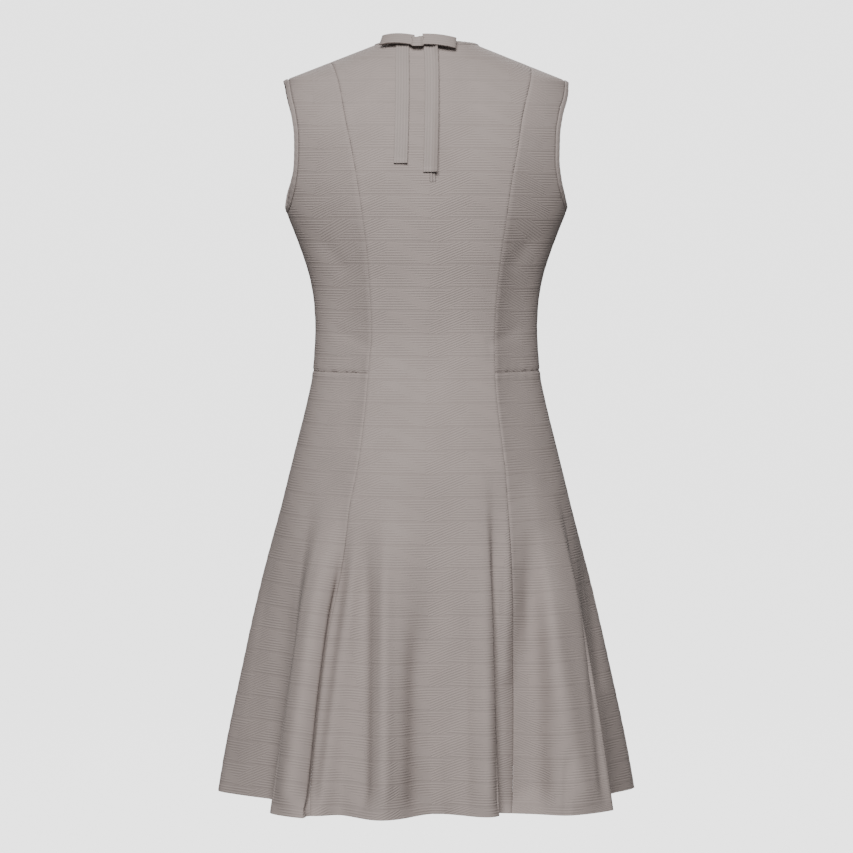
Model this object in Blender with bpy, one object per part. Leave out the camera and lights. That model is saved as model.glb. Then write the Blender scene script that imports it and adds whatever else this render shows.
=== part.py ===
"""A sleeveless golf dress, filled out as it is when worn: a hollow wall of cloth in cut and sewn pieces.

Metres, +Z up. The back of the dress faces +Y and the wearer's left is +X. The origin is midway between the
shoulders, level with the middle of the shoulder seams, where a wearer holds the dress up.

A place on the cloth is a station and a height. The station is an angle round the body in degrees: 0 at the
centre back, 90 at the wearer's left side, 180 at the centre front and 270 (or -90) at the right side.
"""

import bmesh
import bpy
import numpy as np

MM = 0.001

# Driving sizes, in metres
CLOTH = 1.4 * MM
SEAM_GAP = 0.3 * MM
NECK_POINT_Z = 16.5 * MM
NECK_POINT_X = 58.8 * MM
SHOULDER_TIP_Z = -21.5 * MM
SHOULDER_TIP_X = 155.8 * MM
BACK_NECK_DROP = 1.6 * MM
FRONT_NECK_DROP = 64.0 * MM
UNDERARM_Z = -171.3 * MM
WAIST_SEAM_Z = -348.0 * MM
HEM_Z = -823.0 * MM
HEM_LEAN = 6.0 * MM
ZIP_END_Z = -138.0 * MM
ZIP_WIDTH = 8.9 * MM
BINDING_WIDTH = 6.0 * MM
BINDING_PROUD = 0.35 * MM
RIBBON_WIDTH = 15.0 * MM
RIBBON = 1.1 * MM

# The bow, tied to the left of the centre back: its seat on the neck's edge, the knot's half sizes
# (sideways, up the back, off the cloth), and how far the knot and the loops lie up the back and off it
BOW_X = 16.0 * MM
BOW_Z = 15.0 * MM
NECK_CURVE = 95.0 * MM
KNOT = (8.4 * MM, 7.6 * MM, 4.2 * MM)
KNOT_HEIGHT = 5.2 * MM
KNOT_LIFT = 4.9 * MM
LOOP_HEIGHT = 7.4 * MM
LOOP_DEPTH = 3.6 * MM
LOOP_PARTED = 0.8 * MM
TAIL_TOP_Z = 12.0 * MM

# Rows of each stretch of cloth, from its top to its bottom
ROWS_ZIP, ROWS_UNDERARM, ROWS_WAIST, ROWS_SKIRT = 9, 4, 5, 14

# Sections of the filled garment, in mm: half width, depth behind and in front of the side seams,
# and the squareness of the section, where 2 is an ellipse
RINGS_COLUMNS = ("height", "half_width", "back", "front", "square")
RINGS = (
    (16.5, 58.8, 53, 46, 2.0),
    (-21.5, 155.8, 74, 62, 2.1),
    (-30, 161.0, 78, 67, 2.15),
    (-40, 165.0, 82, 71, 2.2),
    (-60, 169.0, 89, 79, 2.25),
    (-84, 170.5, 95, 91, 2.3),
    (-111, 169.5, 99, 103, 2.3),
    (-138, 166.0, 101, 113, 2.3),
    (-155, 161.5, 101, 118, 2.3),
    (-171.3, 157.0, 100, 121, 2.3),
    (-192, 149.0, 98, 122.5, 2.3),
    (-219, 139.0, 95, 120, 2.3),
    (-246, 131.0, 91, 112, 2.3),
    (-274, 126.6, 88, 104, 2.3),
    (-301, 125.4, 86, 98, 2.3),
    (-328, 126.6, 88, 96, 2.3),
    (-355, 129.0, 93, 98, 2.3),
    (-382, 134.5, 101, 102, 2.3),
    (-436, 148.0, 115, 108, 2.25),
    (-490, 161.5, 125, 114, 2.2),
    (-585, 184.5, 138, 127, 2.1),
    (-694, 205.5, 152, 145, 2.05),
    (-775, 219.5, 163, 158, 2.0),
    (-823, 226.0, 168, 166, 2.0),
)

# The back princess seams, in mm: how far each lies from the centre back at a height, before the folds
PRINCESS_COLUMNS = ("height", "left", "right")
PRINCESS = (
    (0, 109, 118),
    (-26, 103, 111),
    (-66, 97, 100),
    (-101, 90.5, 94),
    (-137, 84.5, 87),
    (-183, 78, 81),
    (-218, 73.5, 76.5),
    (-298, 68.5, 70.5),
    (-348, 72, 70),
    (-436, 83, 77),
    (-500, 95, 86),
    (-640, 109, 105),
    (-823, 120, 120),
)

# The armhole edges of the panels, in mm from the centre line
ARMHOLE_COLUMNS = ("height", "back_left", "back_right", "front")
ARMHOLE = (
    (-21.5, 155.8, 155.8, 155.8),
    (-40, 154.0, 151.5, 151.0),
    (-60, 150.5, 144.5, 145.0),
    (-84, 148.5, 141.0, 140.5),
    (-111, 149.5, 141.5, 141.0),
    (-138, 152.5, 146.5, 147.0),
    (-155, 155.0, 152.0, 153.0),
    (-171.3, 157.0, 157.0, 157.0),
)

# The skirt's flutes, a row for each crest and valley: where it lies round the body, how far the hem stands
# out there, how far it shifts along towards the wearer's left (mm), and the height at which it starts (mm)
FLUTES_COLUMNS = ("station", "out", "along", "start")
FLUTES = (
    (-93, 16, -8, -500),
    (-80, -13, -1, -500),
    (-68, -25, 27, -480),
    (-58, 32, 36, -470),
    (-47, 28, 48, -450),
    (-38, 5, 42, -450),
    (-31, -10, 41, -450),
    (-23, -27, 36, -450),
    (-17, 9, 4, -440),
    (-13, 15, 0, -440),
    (0, -13, 1, -520),
    (14.5, 35, 6, -430),
    (24, 13, 13, -430),
    (30, 27, 9, -470),
    (32, 31, 8, -470),
    (38, 47, -12, -480),
    (46, 40, -6, -480),
    (58, -20, -25, -480),
    (66, -24, -12, -500),
    (78, -11, -2, -500),
    (90, 11, 0, -500),
    (104, -12, 4, -500),
    (118, 30, 2, -450),
    (133, -14, -3, -460),
    (149, 34, 5, -440),
    (164, -12, 0, -480),
    (179, 24, -4, -450),
    (194, -14, 2, -470),
    (209, 33, -6, -440),
    (225, -12, 0, -470),
    (240, 31, 4, -450),
    (254, -14, -4, -500),
)


def column(table, names, name):
    """One named column of a table."""
    return np.array([row[names.index(name)] for row in table], float)


def through(knots, values, at):
    """A curve through the knots that never overshoots: cubic between knots, flat where the values turn.

    The values are one row for each knot, and a column for each place asked for, or one column for all.
    """
    values = np.broadcast_to(np.reshape(values, (len(knots), -1)), (len(knots), at.size))
    step = np.diff(knots)[:, None]
    rise = np.diff(values, axis=0) / step
    both = rise[:-1] * rise[1:]
    inner = np.where(both > 0, 2 * both / np.where(both > 0, rise[:-1] + rise[1:], 1), 0)
    slope = np.concatenate([rise[:1], inner, rise[-1:]])
    place = at.ravel()
    low = np.clip(np.searchsorted(knots, place, "right") - 1, 0, len(knots) - 2)
    width = step[low, 0]
    t = np.clip((place - knots[low]) / width, 0, 1)
    each = np.arange(at.size)
    start, end = values[low, each], values[low + 1, each]
    lean, leave = slope[low, each] * width, slope[low + 1, each] * width
    found = (
        (2 * t**3 - 3 * t**2 + 1) * start
        + (t**3 - 2 * t**2 + t) * lean
        + (3 * t**2 - 2 * t**3) * end
        + (t**3 - t**2) * leave
    )
    return found.reshape(at.shape)


def by_height(table, names, name, z):
    """A column of a table whose rows go down by height, read at the heights z, in metres."""
    knots = column(table, names, "height")[::-1] * MM
    scale = 1 if name == "square" else MM
    return through(knots, column(table, names, name)[::-1] * scale, np.asarray(z, float))


def half_width(z):
    """The section's half width: straight along the shoulder's slope, and from the table below its tip."""
    z = np.asarray(z, float)
    slope = (SHOULDER_TIP_X - NECK_POINT_X) / (NECK_POINT_Z - SHOULDER_TIP_Z)
    return np.where(
        z > SHOULDER_TIP_Z,
        NECK_POINT_X + (NECK_POINT_Z - z) * slope,
        by_height(RINGS, RINGS_COLUMNS, "half_width", np.minimum(z, SHOULDER_TIP_Z)),
    )


def shoulder_z(x):
    """The height of the shoulder's slope at a distance from the centre line."""
    slope = (NECK_POINT_Z - SHOULDER_TIP_Z) / (SHOULDER_TIP_X - NECK_POINT_X)
    return NECK_POINT_Z - (np.abs(x) - NECK_POINT_X) * slope


def station_of(x, z, front=False):
    """The station, in degrees, of a place on the section at height z that lies x from the centre line."""
    share = np.clip(np.abs(x) / half_width(z), 0, 1)
    square = by_height(RINGS, RINGS_COLUMNS, "square", z)
    turn = np.sign(x) * np.degrees(np.arcsin(share ** (square / 2)))
    return 180 - turn if front else turn


def x_of(station, z):
    """How far a station lies from the centre line at height z, before the folds."""
    sine = np.sin(np.radians(station))
    square = by_height(RINGS, RINGS_COLUMNS, "square", z)
    return np.sign(sine) * half_width(z) * np.abs(sine) ** (2 / square)


def section(station, z):
    """Points on the plain sections: a rounded oval, deeper in front or behind."""
    cosine = np.cos(np.radians(station))
    square = by_height(RINGS, RINGS_COLUMNS, "square", z)
    deep = np.where(
        cosine > 0,
        by_height(RINGS, RINGS_COLUMNS, "back", z),
        by_height(RINGS, RINGS_COLUMNS, "front", z),
    )
    y = np.sign(cosine) * deep * np.abs(cosine) ** (2 / square)
    return np.stack([x_of(station, z), y, z], -1)


def flute(station, z, name):
    """A column of the flutes at a place: it grows from each flute's start down to the hem."""
    turned = (np.asarray(station) + 100) % 360 - 100
    knots = column(FLUTES, FLUTES_COLUMNS, "station")
    wide = column(FLUTES, FLUTES_COLUMNS, name) * MM
    start = column(FLUTES, FLUTES_COLUMNS, "start") * MM
    knots = np.concatenate([knots[-2:] - 360, knots, knots[:2] + 360])
    wide, start = (np.concatenate([c[-2:], c, c[:2]])[:, None] for c in (wide, start))
    grown = np.clip((start - z.ravel()) / (start - HEM_Z), 0, 1.2)
    return through(knots, wide * grown**1.1, turned)


def surface(station, z):
    """Points on the outside of the cloth: the plain section, with the flutes moved out and along."""
    station, z = np.broadcast_arrays(np.asarray(station, float), np.asarray(z, float))
    points = section(station, z)
    if z.min() > WAIST_SEAM_Z:
        return points
    ahead, behind = section(station + 0.5, z), section(station - 0.5, z)
    along = ahead - behind
    along /= np.linalg.norm(along, axis=-1, keepdims=True)
    out = np.stack([-along[..., 1], along[..., 0], np.zeros_like(z)], -1)
    points += out * flute(station, z, "out")[..., None] + along * flute(station, z, "along")[..., None]
    lower = np.clip((WAIST_SEAM_Z - z) / (WAIST_SEAM_Z - HEM_Z), 0, 1.1)
    points[..., 2] -= HEM_LEAN * lower * (1 - np.sin(np.radians(station))) / 2
    return points


def skin(station, z):
    """Points on the outside of the cloth and the directions that face out of it there."""
    small_turn, small_drop = 0.3, 0.6 * MM
    points = surface(station, z)
    round_it = surface(station + small_turn, z) - surface(station - small_turn, z)
    up_it = surface(station, z + small_drop) - surface(station, z - small_drop)
    facing = np.cross(up_it, round_it)
    facing /= np.linalg.norm(facing, axis=-1, keepdims=True)
    return points, facing


def heights(first, last, parts, dense):
    """Shares of the way from first to last, closer together at the end that dense names."""
    step = np.linspace(0, 1, parts + 1)
    eased = {
        "start": 1 - np.cos(step * np.pi / 2),
        "end": np.sin(step * np.pi / 2),
        "none": step,
    }[dense]
    return first + (last - first) * eased


def stitched(start, end, parts):
    """Stations from start to end at the hem, closer together where the hem turns."""
    fine = np.linspace(start, end, 400)
    hem = surface(fine, np.full(fine.shape, HEM_Z))
    legs = np.diff(hem, axis=0)
    length = np.linalg.norm(legs, axis=1)
    ways = legs / length[:, None]
    turning = np.arccos(np.clip((ways[1:] * ways[:-1]).sum(1), -1, 1))
    turn_weight = 9 * MM
    effort = np.concatenate([[0], np.cumsum(length + turn_weight * np.append(turning, 0))])
    return np.interp(np.linspace(0, effort[-1], parts + 1), effort, fine)


class Panel:
    """A cut piece of the dress as a grid of stations and heights between two of its seams."""

    def __init__(self, left_x, right_x, top_x, hem_stations, front=False, neck=None):
        """Edges as x at a height; the columns' x at the top edge and their stations at the hem."""
        self.edges, self.front, self.neck = (left_x, right_x), front, neck
        self.top_x, self.hem = np.asarray(top_x), np.asarray(hem_stations)
        self.top_z = shoulder_z(self.top_x)
        if neck:
            inside = np.abs(self.top_x) < NECK_POINT_X
            share = np.clip(np.abs(self.top_x) / NECK_POINT_X, 0, 1)
            self.top_z = np.where(inside, NECK_POINT_Z - neck * (1 - share**2) ** 0.8, self.top_z)

    def edge_stations(self, z):
        """The stations of the two edges at a height."""
        return [station_of(edge(z), z, self.front) for edge in self.edges]

    def between(self, stations, z):
        """The columns as shares of the way from the first edge to the second, by station."""
        first, second = self.edge_stations(z)
        return (stations - first) / (second - first)

    def underarm_x(self):
        """The columns' x at the underarm: as at the top, or even round the body up to a side seam."""
        first, second = (edge(UNDERARM_Z) for edge in self.edges)
        share = (self.top_x - self.top_x[0]) / (self.top_x[-1] - self.top_x[0])
        if max(abs(first), abs(second)) < SHOULDER_TIP_X:
            return first + share * (second - first)
        start, end = self.edge_stations(UNDERARM_Z)
        return x_of(start + share * (end - start), np.full(share.shape, UNDERARM_Z))

    def grid(self, first_row, last_row):
        """Stations and heights of the rows of cloth from first_row to last_row, by name."""
        top = self.top_z
        zip_share = (NECK_POINT_Z - BACK_NECK_DROP - ZIP_END_Z) / (
            NECK_POINT_Z - BACK_NECK_DROP - UNDERARM_Z
        )
        upper = heights(0, zip_share, ROWS_ZIP, "start")
        lower = heights(zip_share, 1, ROWS_UNDERARM, "end")
        z_upper = top + (UNDERARM_Z - top) * np.concatenate([upper, lower[1:]])[:, None]
        z_waist = heights(UNDERARM_Z, WAIST_SEAM_Z, ROWS_WAIST, "none")
        z_skirt = heights(WAIST_SEAM_Z, HEM_Z, ROWS_SKIRT, "none")
        rows, places = [], []
        under_x = self.underarm_x()
        under = self.between(station_of(under_x, UNDERARM_Z, self.front), UNDERARM_Z)
        hem = (self.hem - self.hem[0]) / (self.hem[-1] - self.hem[0])
        if first_row == "top":
            top_share = (self.top_x - self.top_x[0]) / (self.top_x[-1] - self.top_x[0])
            low_share = (under_x - under_x[0]) / (under_x[-1] - under_x[0])
            for z in z_upper:
                w = np.clip((top - z) / (top - UNDERARM_Z), 0, 1)
                share = top_share * (1 - w) + low_share * w
                first, second = (edge(z) for edge in self.edges)
                x = first + share * (second - first)
                x[0], x[-1] = self.edges[0](z[0]), self.edges[1](z[-1])
                rows.append(station_of(x, z, self.front))
                places.append(z)
        lower_rows = {"waist": z_waist[1:], "hem": np.concatenate([z_waist[1:], z_skirt[1:]])}[last_row]
        if first_row == "waist":
            lower_rows = z_skirt
        for z in lower_rows:
            w = (UNDERARM_Z - z) / (UNDERARM_Z - HEM_Z)
            share = under * (1 - w) + hem * w
            first, second = self.edge_stations(np.full(share.shape, z))
            rows.append(first + share * (second - first))
            places.append(np.full(share.shape, z))
        return np.array(rows), np.array(places)


def trimmed(points, sides):
    """Points with half a seam gap taken off the named sides of the grid."""
    points = points.copy()
    for side in sides:
        edge, inner = {
            "top": (np.s_[0, :], np.s_[1, :]),
            "bottom": (np.s_[-1, :], np.s_[-2, :]),
            "first": (np.s_[:, 0], np.s_[:, 1]),
            "last": (np.s_[:, -1], np.s_[:, -2]),
        }[side]
        way = points[inner] - points[edge]
        points[edge] += way / np.linalg.norm(way, axis=-1, keepdims=True) * SEAM_GAP / 2
    return points


def add_object(name, points, faces, finish):
    """One closed mesh as a named object with its finish."""
    mesh = bpy.data.meshes.new(name)
    mesh.from_pydata([tuple(p) for p in points], [], faces)
    form = bmesh.new()
    form.from_mesh(mesh)
    bmesh.ops.remove_doubles(form, verts=form.verts, dist=0.001 * MM)
    bmesh.ops.triangulate(form, faces=form.faces)
    bmesh.ops.recalc_face_normals(form, faces=form.faces)
    form.to_mesh(mesh)
    form.free()
    mesh.shade_smooth()
    mesh.set_sharp_from_angle(angle=np.radians(40))
    mesh.materials.append(finish)
    made = bpy.data.objects.new(name, mesh)
    bpy.context.collection.objects.link(made)
    return made


def wall(name, outer, inner, finish, keep=None):
    """A closed wall between two grids of points, with a rim round every open edge of the cells kept."""
    rows, columns = outer.shape[:2]
    keep = np.ones((rows - 1, columns - 1), bool) if keep is None else keep
    count = rows * columns
    number = np.arange(count).reshape(rows, columns)
    faces, open_edges = [], {}
    for i, j in zip(*np.nonzero(keep)):
        corners = [number[i, j], number[i, j + 1], number[i + 1, j + 1], number[i + 1, j]]
        corners = [int(c) for c in corners]
        faces.append(corners)
        faces.append([c + count for c in reversed(corners)])
        for a, b in zip(corners, corners[1:] + corners[:1]):
            if (b, a) in open_edges:
                del open_edges[b, a]
            else:
                open_edges[a, b] = True
    faces += [[b, a, a + count, b + count] for a, b in open_edges]
    points = np.concatenate([outer.reshape(-1, 3), inner.reshape(-1, 3)])
    used = sorted({c for face in faces for c in face})
    place = {c: i for i, c in enumerate(used)}
    return add_object(name, points[used], [[place[c] for c in face] for face in faces], finish)


def closed_strip(name, corners, finish, closed):
    """A solid strip from sections of four corners each; closed joins its last section to its first."""
    count = len(corners)
    faces = []
    for i in range(count if closed else count - 1):
        here, after = 4 * i, 4 * ((i + 1) % count)
        for a, b in ((0, 1), (1, 2), (2, 3), (3, 0)):
            faces.append([here + a, here + b, after + b, after + a])
    if not closed:
        faces += [[3, 2, 1, 0], [4 * count - 4 + k for k in range(4)]]
    return add_object(name, np.concatenate(corners), faces, finish)


def finish_of(name, colour, roughness):
    """A plain finish: its colour, roughness and no metal."""
    made = bpy.data.materials.new(name)
    made.use_nodes = True
    shader = made.node_tree.nodes["Principled BSDF"]
    shader.inputs["Base Color"].default_value = (*colour, 1)
    shader.inputs["Roughness"].default_value = roughness
    shader.inputs["Metallic"].default_value = 0
    made.diffuse_color = (*colour, 1)
    return made


def cut(panel, name, rows, sides, finish, open_for_zip=False):
    """Make a panel's wall from its grid, and give back its untrimmed points and directions."""
    stations, z = panel.grid(*rows)
    points, facing = skin(stations, z)
    outer = trimmed(points, sides)
    keep = None
    if open_for_zip:
        middle = len(panel.top_x) // 2 - 1
        keep = np.ones((len(z) - 1, len(panel.top_x) - 1), bool)
        keep[:ROWS_ZIP, middle] = False
    wall(name, outer, outer - facing * CLOTH, finish, keep)
    return points, facing


def binding(name, edge, facing, finish, closed):
    """A narrow band that carries on from a panel's edge into the opening, a little proud on both sides."""
    if closed:
        along = np.roll(edge, -1, 0) - np.roll(edge, 1, 0)
    else:
        along = np.gradient(edge, axis=0)
    inward = np.cross(along, facing)
    inward /= np.linalg.norm(inward, axis=1, keepdims=True)
    if (inward * (edge.mean(0) - edge)).sum() < 0:
        inward = -inward
    near, far = SEAM_GAP / 2, SEAM_GAP / 2 + BINDING_WIDTH
    top, under = BINDING_PROUD, -CLOTH - BINDING_PROUD
    corners = [
        [p + n * top + w * near, p + n * top + w * far, p + n * under + w * far, p + n * under + w * near]
        for p, n, w in zip(edge, facing, inward)
    ]
    return closed_strip(name, np.array(corners), finish, closed)


def ribbon(name, path, across, width, finish):
    """A flat ribbon of even thickness along a path; across is the way its width lies at each point."""
    path = np.asarray(path, float)
    along = np.gradient(path, axis=0)
    across = np.broadcast_to(np.asarray(across, float), path.shape)
    across = across / np.linalg.norm(across, axis=1, keepdims=True)
    face = np.cross(along, across)
    face /= np.linalg.norm(face, axis=1, keepdims=True)
    half, deep = across * width / 2, face * RIBBON / 2
    corners = np.stack([path - half + deep, path + half + deep, path + half - deep, path - half - deep], 1)
    return closed_strip(name, corners, finish, False)


def on_back(x, z, lift):
    """A point lifted off the back of the dress at x and z."""
    x, z = np.asarray(x, float), np.asarray(z, float)
    points, facing = skin(station_of(x, z), z)
    return points + facing * np.asarray(lift)[..., None]


def bow(finish):
    """The bow at the back neck: two flat loops, a knot and two tails, all of one ribbon.

    Its places are measured on the slope of the back, from a point on the neck's edge: sideways, up the
    slope, and off the cloth, which curves away from the bow on both sides.
    """
    seat, out = (part[0] for part in skin(station_of(BOW_X, [BOW_Z]), np.array([BOW_Z])))
    aside = np.cross(out, (0, 0, 1.0))
    aside *= np.sign(aside[0]) / np.linalg.norm(aside)
    up = np.cross(out, aside)
    up *= np.sign(up[2]) / np.linalg.norm(up)

    def place(sideways, height, lift):
        sideways = np.asarray(sideways, float)
        off = lift - sideways**2 / (2 * NECK_CURVE)
        return seat + np.multiply.outer(sideways, aside) + np.multiply.outer(height, up) + (
            np.multiply.outer(off, out)
        )

    turn = np.linspace(0, 2 * np.pi, 17)[:-1]
    body = []
    for level in np.linspace(-1, 1, 7):
        slim = 1 - 0.18 * level**2
        wide = KNOT[0] * slim * np.sign(np.cos(turn)) * np.abs(np.cos(turn)) ** 0.6
        deep = KNOT[2] * slim * np.sign(np.sin(turn)) * np.abs(np.sin(turn)) ** 0.7
        body.append(place(wide, np.full(turn.shape, KNOT_HEIGHT + level * KNOT[1]), KNOT_LIFT + deep))
    body = np.array(body)
    rows, columns = body.shape[:2]
    faces = []
    for i in range(rows - 1):
        for j in range(columns):
            after = (j + 1) % columns
            here, over = i * columns, (i + 1) * columns
            faces.append([here + j, here + after, over + after, over + j])
    faces += [list(range(columns))[::-1], [(rows - 1) * columns + j for j in range(columns)]]
    add_object("bow_knot", body.reshape(-1, 3), faces, finish)

    for name, side, start, reach, drop in (
        ("bow_loop_left", 1, 8.0 * MM, 33.4 * MM, 0.5 * MM),
        ("bow_loop_right", -1, 9.0 * MM, 34.0 * MM, -8.5 * MM),
    ):
        angle = np.linspace(-0.93, 0.93, 17) * np.pi
        far = 0.5 * (1 + np.cos(angle))
        swell = np.sin(angle) * (0.6 + 0.4 * np.cos(angle)) * LOOP_DEPTH
        swell += np.sign(angle) * (1 - far) * LOOP_PARTED
        sideways = side * (start + reach * far**0.9)
        path = place(sideways, LOOP_HEIGHT + drop * far, KNOT_LIFT + 0.6 * MM + swell)
        across = up - aside * side * drop / reach
        ribbon(name, path, across, RIBBON_WIDTH * 0.95, finish)

    for name, top_x, high_x, low_x, low_z, lift in (
        ("bow_tail_left", 25.0 * MM, 31.5 * MM, 35.0 * MM, -115.5 * MM, 1.0 * MM),
        ("bow_tail_right", 6.0 * MM, 2.5 * MM, 1.6 * MM, -126.0 * MM, 1.5 * MM),
    ):
        fall = np.linspace(0, 1, 15)
        z = TAIL_TOP_Z + (low_z - TAIL_TOP_Z) * fall
        x = high_x + (low_x - high_x) * fall + (top_x - high_x) * np.exp(-fall * 16)
        path = on_back(x, z, np.full(x.shape, lift))
        across = on_back(x + 2 * MM, z, np.full(x.shape, lift)) - path
        ribbon(name, path, across, RIBBON_WIDTH, finish)


def build():
    """Make every piece of the dress."""
    cloth = finish_of("zigzag knit", (0.33, 0.292, 0.278), 0.85)
    trim = finish_of("ribbed trim", (0.31, 0.275, 0.262), 0.75)

    def seam(name, sign):
        return lambda z: sign * by_height(PRINCESS, PRINCESS_COLUMNS, name, z)

    def armhole(name, sign):
        def edge(z):
            z = np.asarray(z, float)
            above = np.full(z.shape, SHOULDER_TIP_X)
            below = by_height(ARMHOLE, ARMHOLE_COLUMNS, name, np.clip(z, UNDERARM_Z, SHOULDER_TIP_Z))
            found = np.where(z > SHOULDER_TIP_Z, above, below)
            return sign * np.where(z < UNDERARM_Z, half_width(z), found)

        return edge

    left_seam, right_seam = seam("left", 1), seam("right", -1)
    top_left = float(left_seam(shoulder_z(109 * MM)))
    top_right = float(right_seam(shoulder_z(118 * MM)))
    hem_left = float(station_of(left_seam(HEM_Z), HEM_Z))
    hem_right = float(station_of(right_seam(HEM_Z), HEM_Z))

    # Centre back: neck to hem, open for the zip
    half_zip = ZIP_WIDTH / 2
    neck_turn = np.linspace(np.arcsin(half_zip / NECK_POINT_X), np.pi / 2, 8)
    neck = NECK_POINT_X * np.sin(neck_turn)
    left_top = np.concatenate([neck, np.linspace(NECK_POINT_X, top_left, 6)[1:]])
    right_top = np.concatenate([-neck, np.linspace(-NECK_POINT_X, top_right, 6)[1:]])[::-1]
    parts = len(left_top) - 1
    middle_station = 1.6
    left_hem = stitched(middle_station, hem_left, parts)
    right_hem = stitched(hem_right, -middle_station, parts)
    centre = Panel(
        right_seam,
        left_seam,
        np.concatenate([right_top, left_top]),
        np.concatenate([right_hem, left_hem]),
        neck=BACK_NECK_DROP,
    )
    centre_points, centre_facing = cut(
        centre, "back_centre", ("top", "hem"), ("top", "first", "last"), cloth, open_for_zip=True
    )

    # Zip strip in the opening of the centre back
    middle = len(centre.top_x) // 2 - 1
    strip = centre_points[: ROWS_ZIP + 1, middle : middle + 2].copy()
    faces_out = centre_facing[: ROWS_ZIP + 1, middle : middle + 2]
    strip = trimmed(trimmed(strip, ("first", "last")), ("first", "last"))
    strip = trimmed(strip, ("top", "bottom", "bottom"))
    wall("back_zip", strip + faces_out * 0.5 * MM, strip - faces_out * (CLOTH + 0.4 * MM), trim)

    # Side backs: bodice and skirt, joined at the waist seam
    side_parts = 14
    edges = {}
    for side, sign, seam_x, top, hem_start in (
        ("left", 1, left_seam, top_left, hem_left),
        ("right", -1, right_seam, top_right, hem_right),
    ):
        top_x = np.linspace(top, sign * SHOULDER_TIP_X, side_parts + 1)
        hem = stitched(hem_start, sign * 90, side_parts)
        panel = Panel(seam_x, armhole(f"back_{side}", sign), top_x, hem)
        all_round = ("top", "bottom", "first", "last")
        points, facing = cut(panel, f"side_back_bodice_{side}", ("top", "waist"), all_round, cloth)
        edges[side] = (points[:, -1], facing[:, -1])
        cut(panel, f"side_back_skirt_{side}", ("waist", "hem"), ("top", "first", "last"), cloth)

    # Front: a bodice and a skirt from side seam to side seam
    shoulder_part = np.linspace(SHOULDER_TIP_X, NECK_POINT_X, 7)
    front_neck = NECK_POINT_X * np.cos(np.linspace(0, np.pi, 15))
    front_top = np.concatenate([shoulder_part, front_neck[1:-1], -shoulder_part[::-1]])
    front_parts = len(front_top) - 1
    front = Panel(
        armhole("front", 1),
        armhole("front", -1),
        front_top,
        np.linspace(90, 270, front_parts + 1),
        front=True,
        neck=FRONT_NECK_DROP,
    )
    front_points, front_facing = cut(
        front, "front_bodice", ("top", "waist"), ("top", "bottom", "first", "last"), cloth
    )
    skirt_hem = stitched(90, 270, 42)
    flat_top = np.cos(np.radians(np.linspace(0, 180, 43))) * SHOULDER_TIP_X
    skirt = Panel(armhole("front", 1), armhole("front", -1), flat_top, skirt_hem, front=True)
    cut(skirt, "front_skirt", ("waist", "hem"), ("top", "first", "last"), cloth)

    # Armhole bindings: down the back edge and up the front edge
    upper_rows = ROWS_ZIP + ROWS_UNDERARM + 1
    for side, index in (("left", 0), ("right", -1)):
        back_edge, back_facing = (part[:upper_rows] for part in edges[side])
        front_edge, front_out = (part[:upper_rows, index] for part in (front_points, front_facing))
        loop = np.concatenate([back_edge, front_edge[-2:0:-1]])
        out = np.concatenate([back_facing, front_out[-2:0:-1]])
        binding(f"armhole_binding_{side}", loop, out, trim, True)

    # Neck binding: round the neck from one side of the zip to the other
    half = len(left_top)
    back_left = np.s_[0, half : half + len(neck)]
    back_right = np.s_[0, half - len(neck) : half]
    front_span = np.s_[0, 6 : 6 + len(front_neck)]
    loop, out = (
        np.concatenate([back[back_left], ahead[front_span][1:-1], back[back_right]])
        for back, ahead in ((centre_points, front_points), (centre_facing, front_facing))
    )
    binding("neck_binding", loop, out, trim, False)

    bow(trim)


for old in list(bpy.data.objects):
    bpy.data.objects.remove(old)
build()
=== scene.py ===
# %% [markdown]
# A sleeveless golf dress, seen from behind as if it were worn, with nothing inside it. The rigid model
# gives its true size and its folds, and this file dresses it: fine cloth walls with sunk seams and creases,
# a knitted zigzag rib, bound edges, rows of stitching and a small ribbon bow.
# The model is loaded first, and each of its solids that a dressed piece stands in for is hidden.

import bpy
import numpy as np
from mathutils import Matrix


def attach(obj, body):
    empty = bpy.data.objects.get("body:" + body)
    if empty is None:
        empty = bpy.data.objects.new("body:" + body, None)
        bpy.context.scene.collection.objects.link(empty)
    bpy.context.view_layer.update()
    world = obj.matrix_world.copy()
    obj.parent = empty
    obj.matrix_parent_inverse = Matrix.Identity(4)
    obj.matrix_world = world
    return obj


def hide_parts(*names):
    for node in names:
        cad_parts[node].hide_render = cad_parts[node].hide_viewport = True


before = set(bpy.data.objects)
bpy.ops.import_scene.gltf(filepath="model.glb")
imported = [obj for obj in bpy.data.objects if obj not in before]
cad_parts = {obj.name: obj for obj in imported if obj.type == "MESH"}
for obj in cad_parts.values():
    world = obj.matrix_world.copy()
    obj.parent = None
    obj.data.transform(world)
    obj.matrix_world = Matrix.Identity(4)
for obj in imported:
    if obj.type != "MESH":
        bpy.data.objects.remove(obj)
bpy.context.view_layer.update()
MM = 0.001

# %% [markdown]
# The camera comes next, because the creases further down are placed as they are seen from behind. It stands
# almost four metres off, level with the shoulder blades and five degrees to the wearer's left of straight
# behind, and looks a little down. A long lens keeps the hem's curve as shallow as it is on the real one.

# %% Camera behind the dress
CAMERA_TURN = np.radians(175)
CAMERA_Z = -0.1955
CAMERA_AWAY = 3.7
AIM_Z = -0.4119
LENS_MM, SENSOR_MM = 138.4, 36.0

camera_place = np.array([np.sin(CAMERA_TURN) * CAMERA_AWAY, -np.cos(CAMERA_TURN) * CAMERA_AWAY, CAMERA_Z])
aim = np.array([0.0, 0.0, AIM_Z])
back_to_camera = (camera_place - aim) / np.linalg.norm(camera_place - aim)
camera_right = np.array([np.cos(CAMERA_TURN), np.sin(CAMERA_TURN), 0.0])
camera_up = np.cross(back_to_camera, camera_right)


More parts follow.
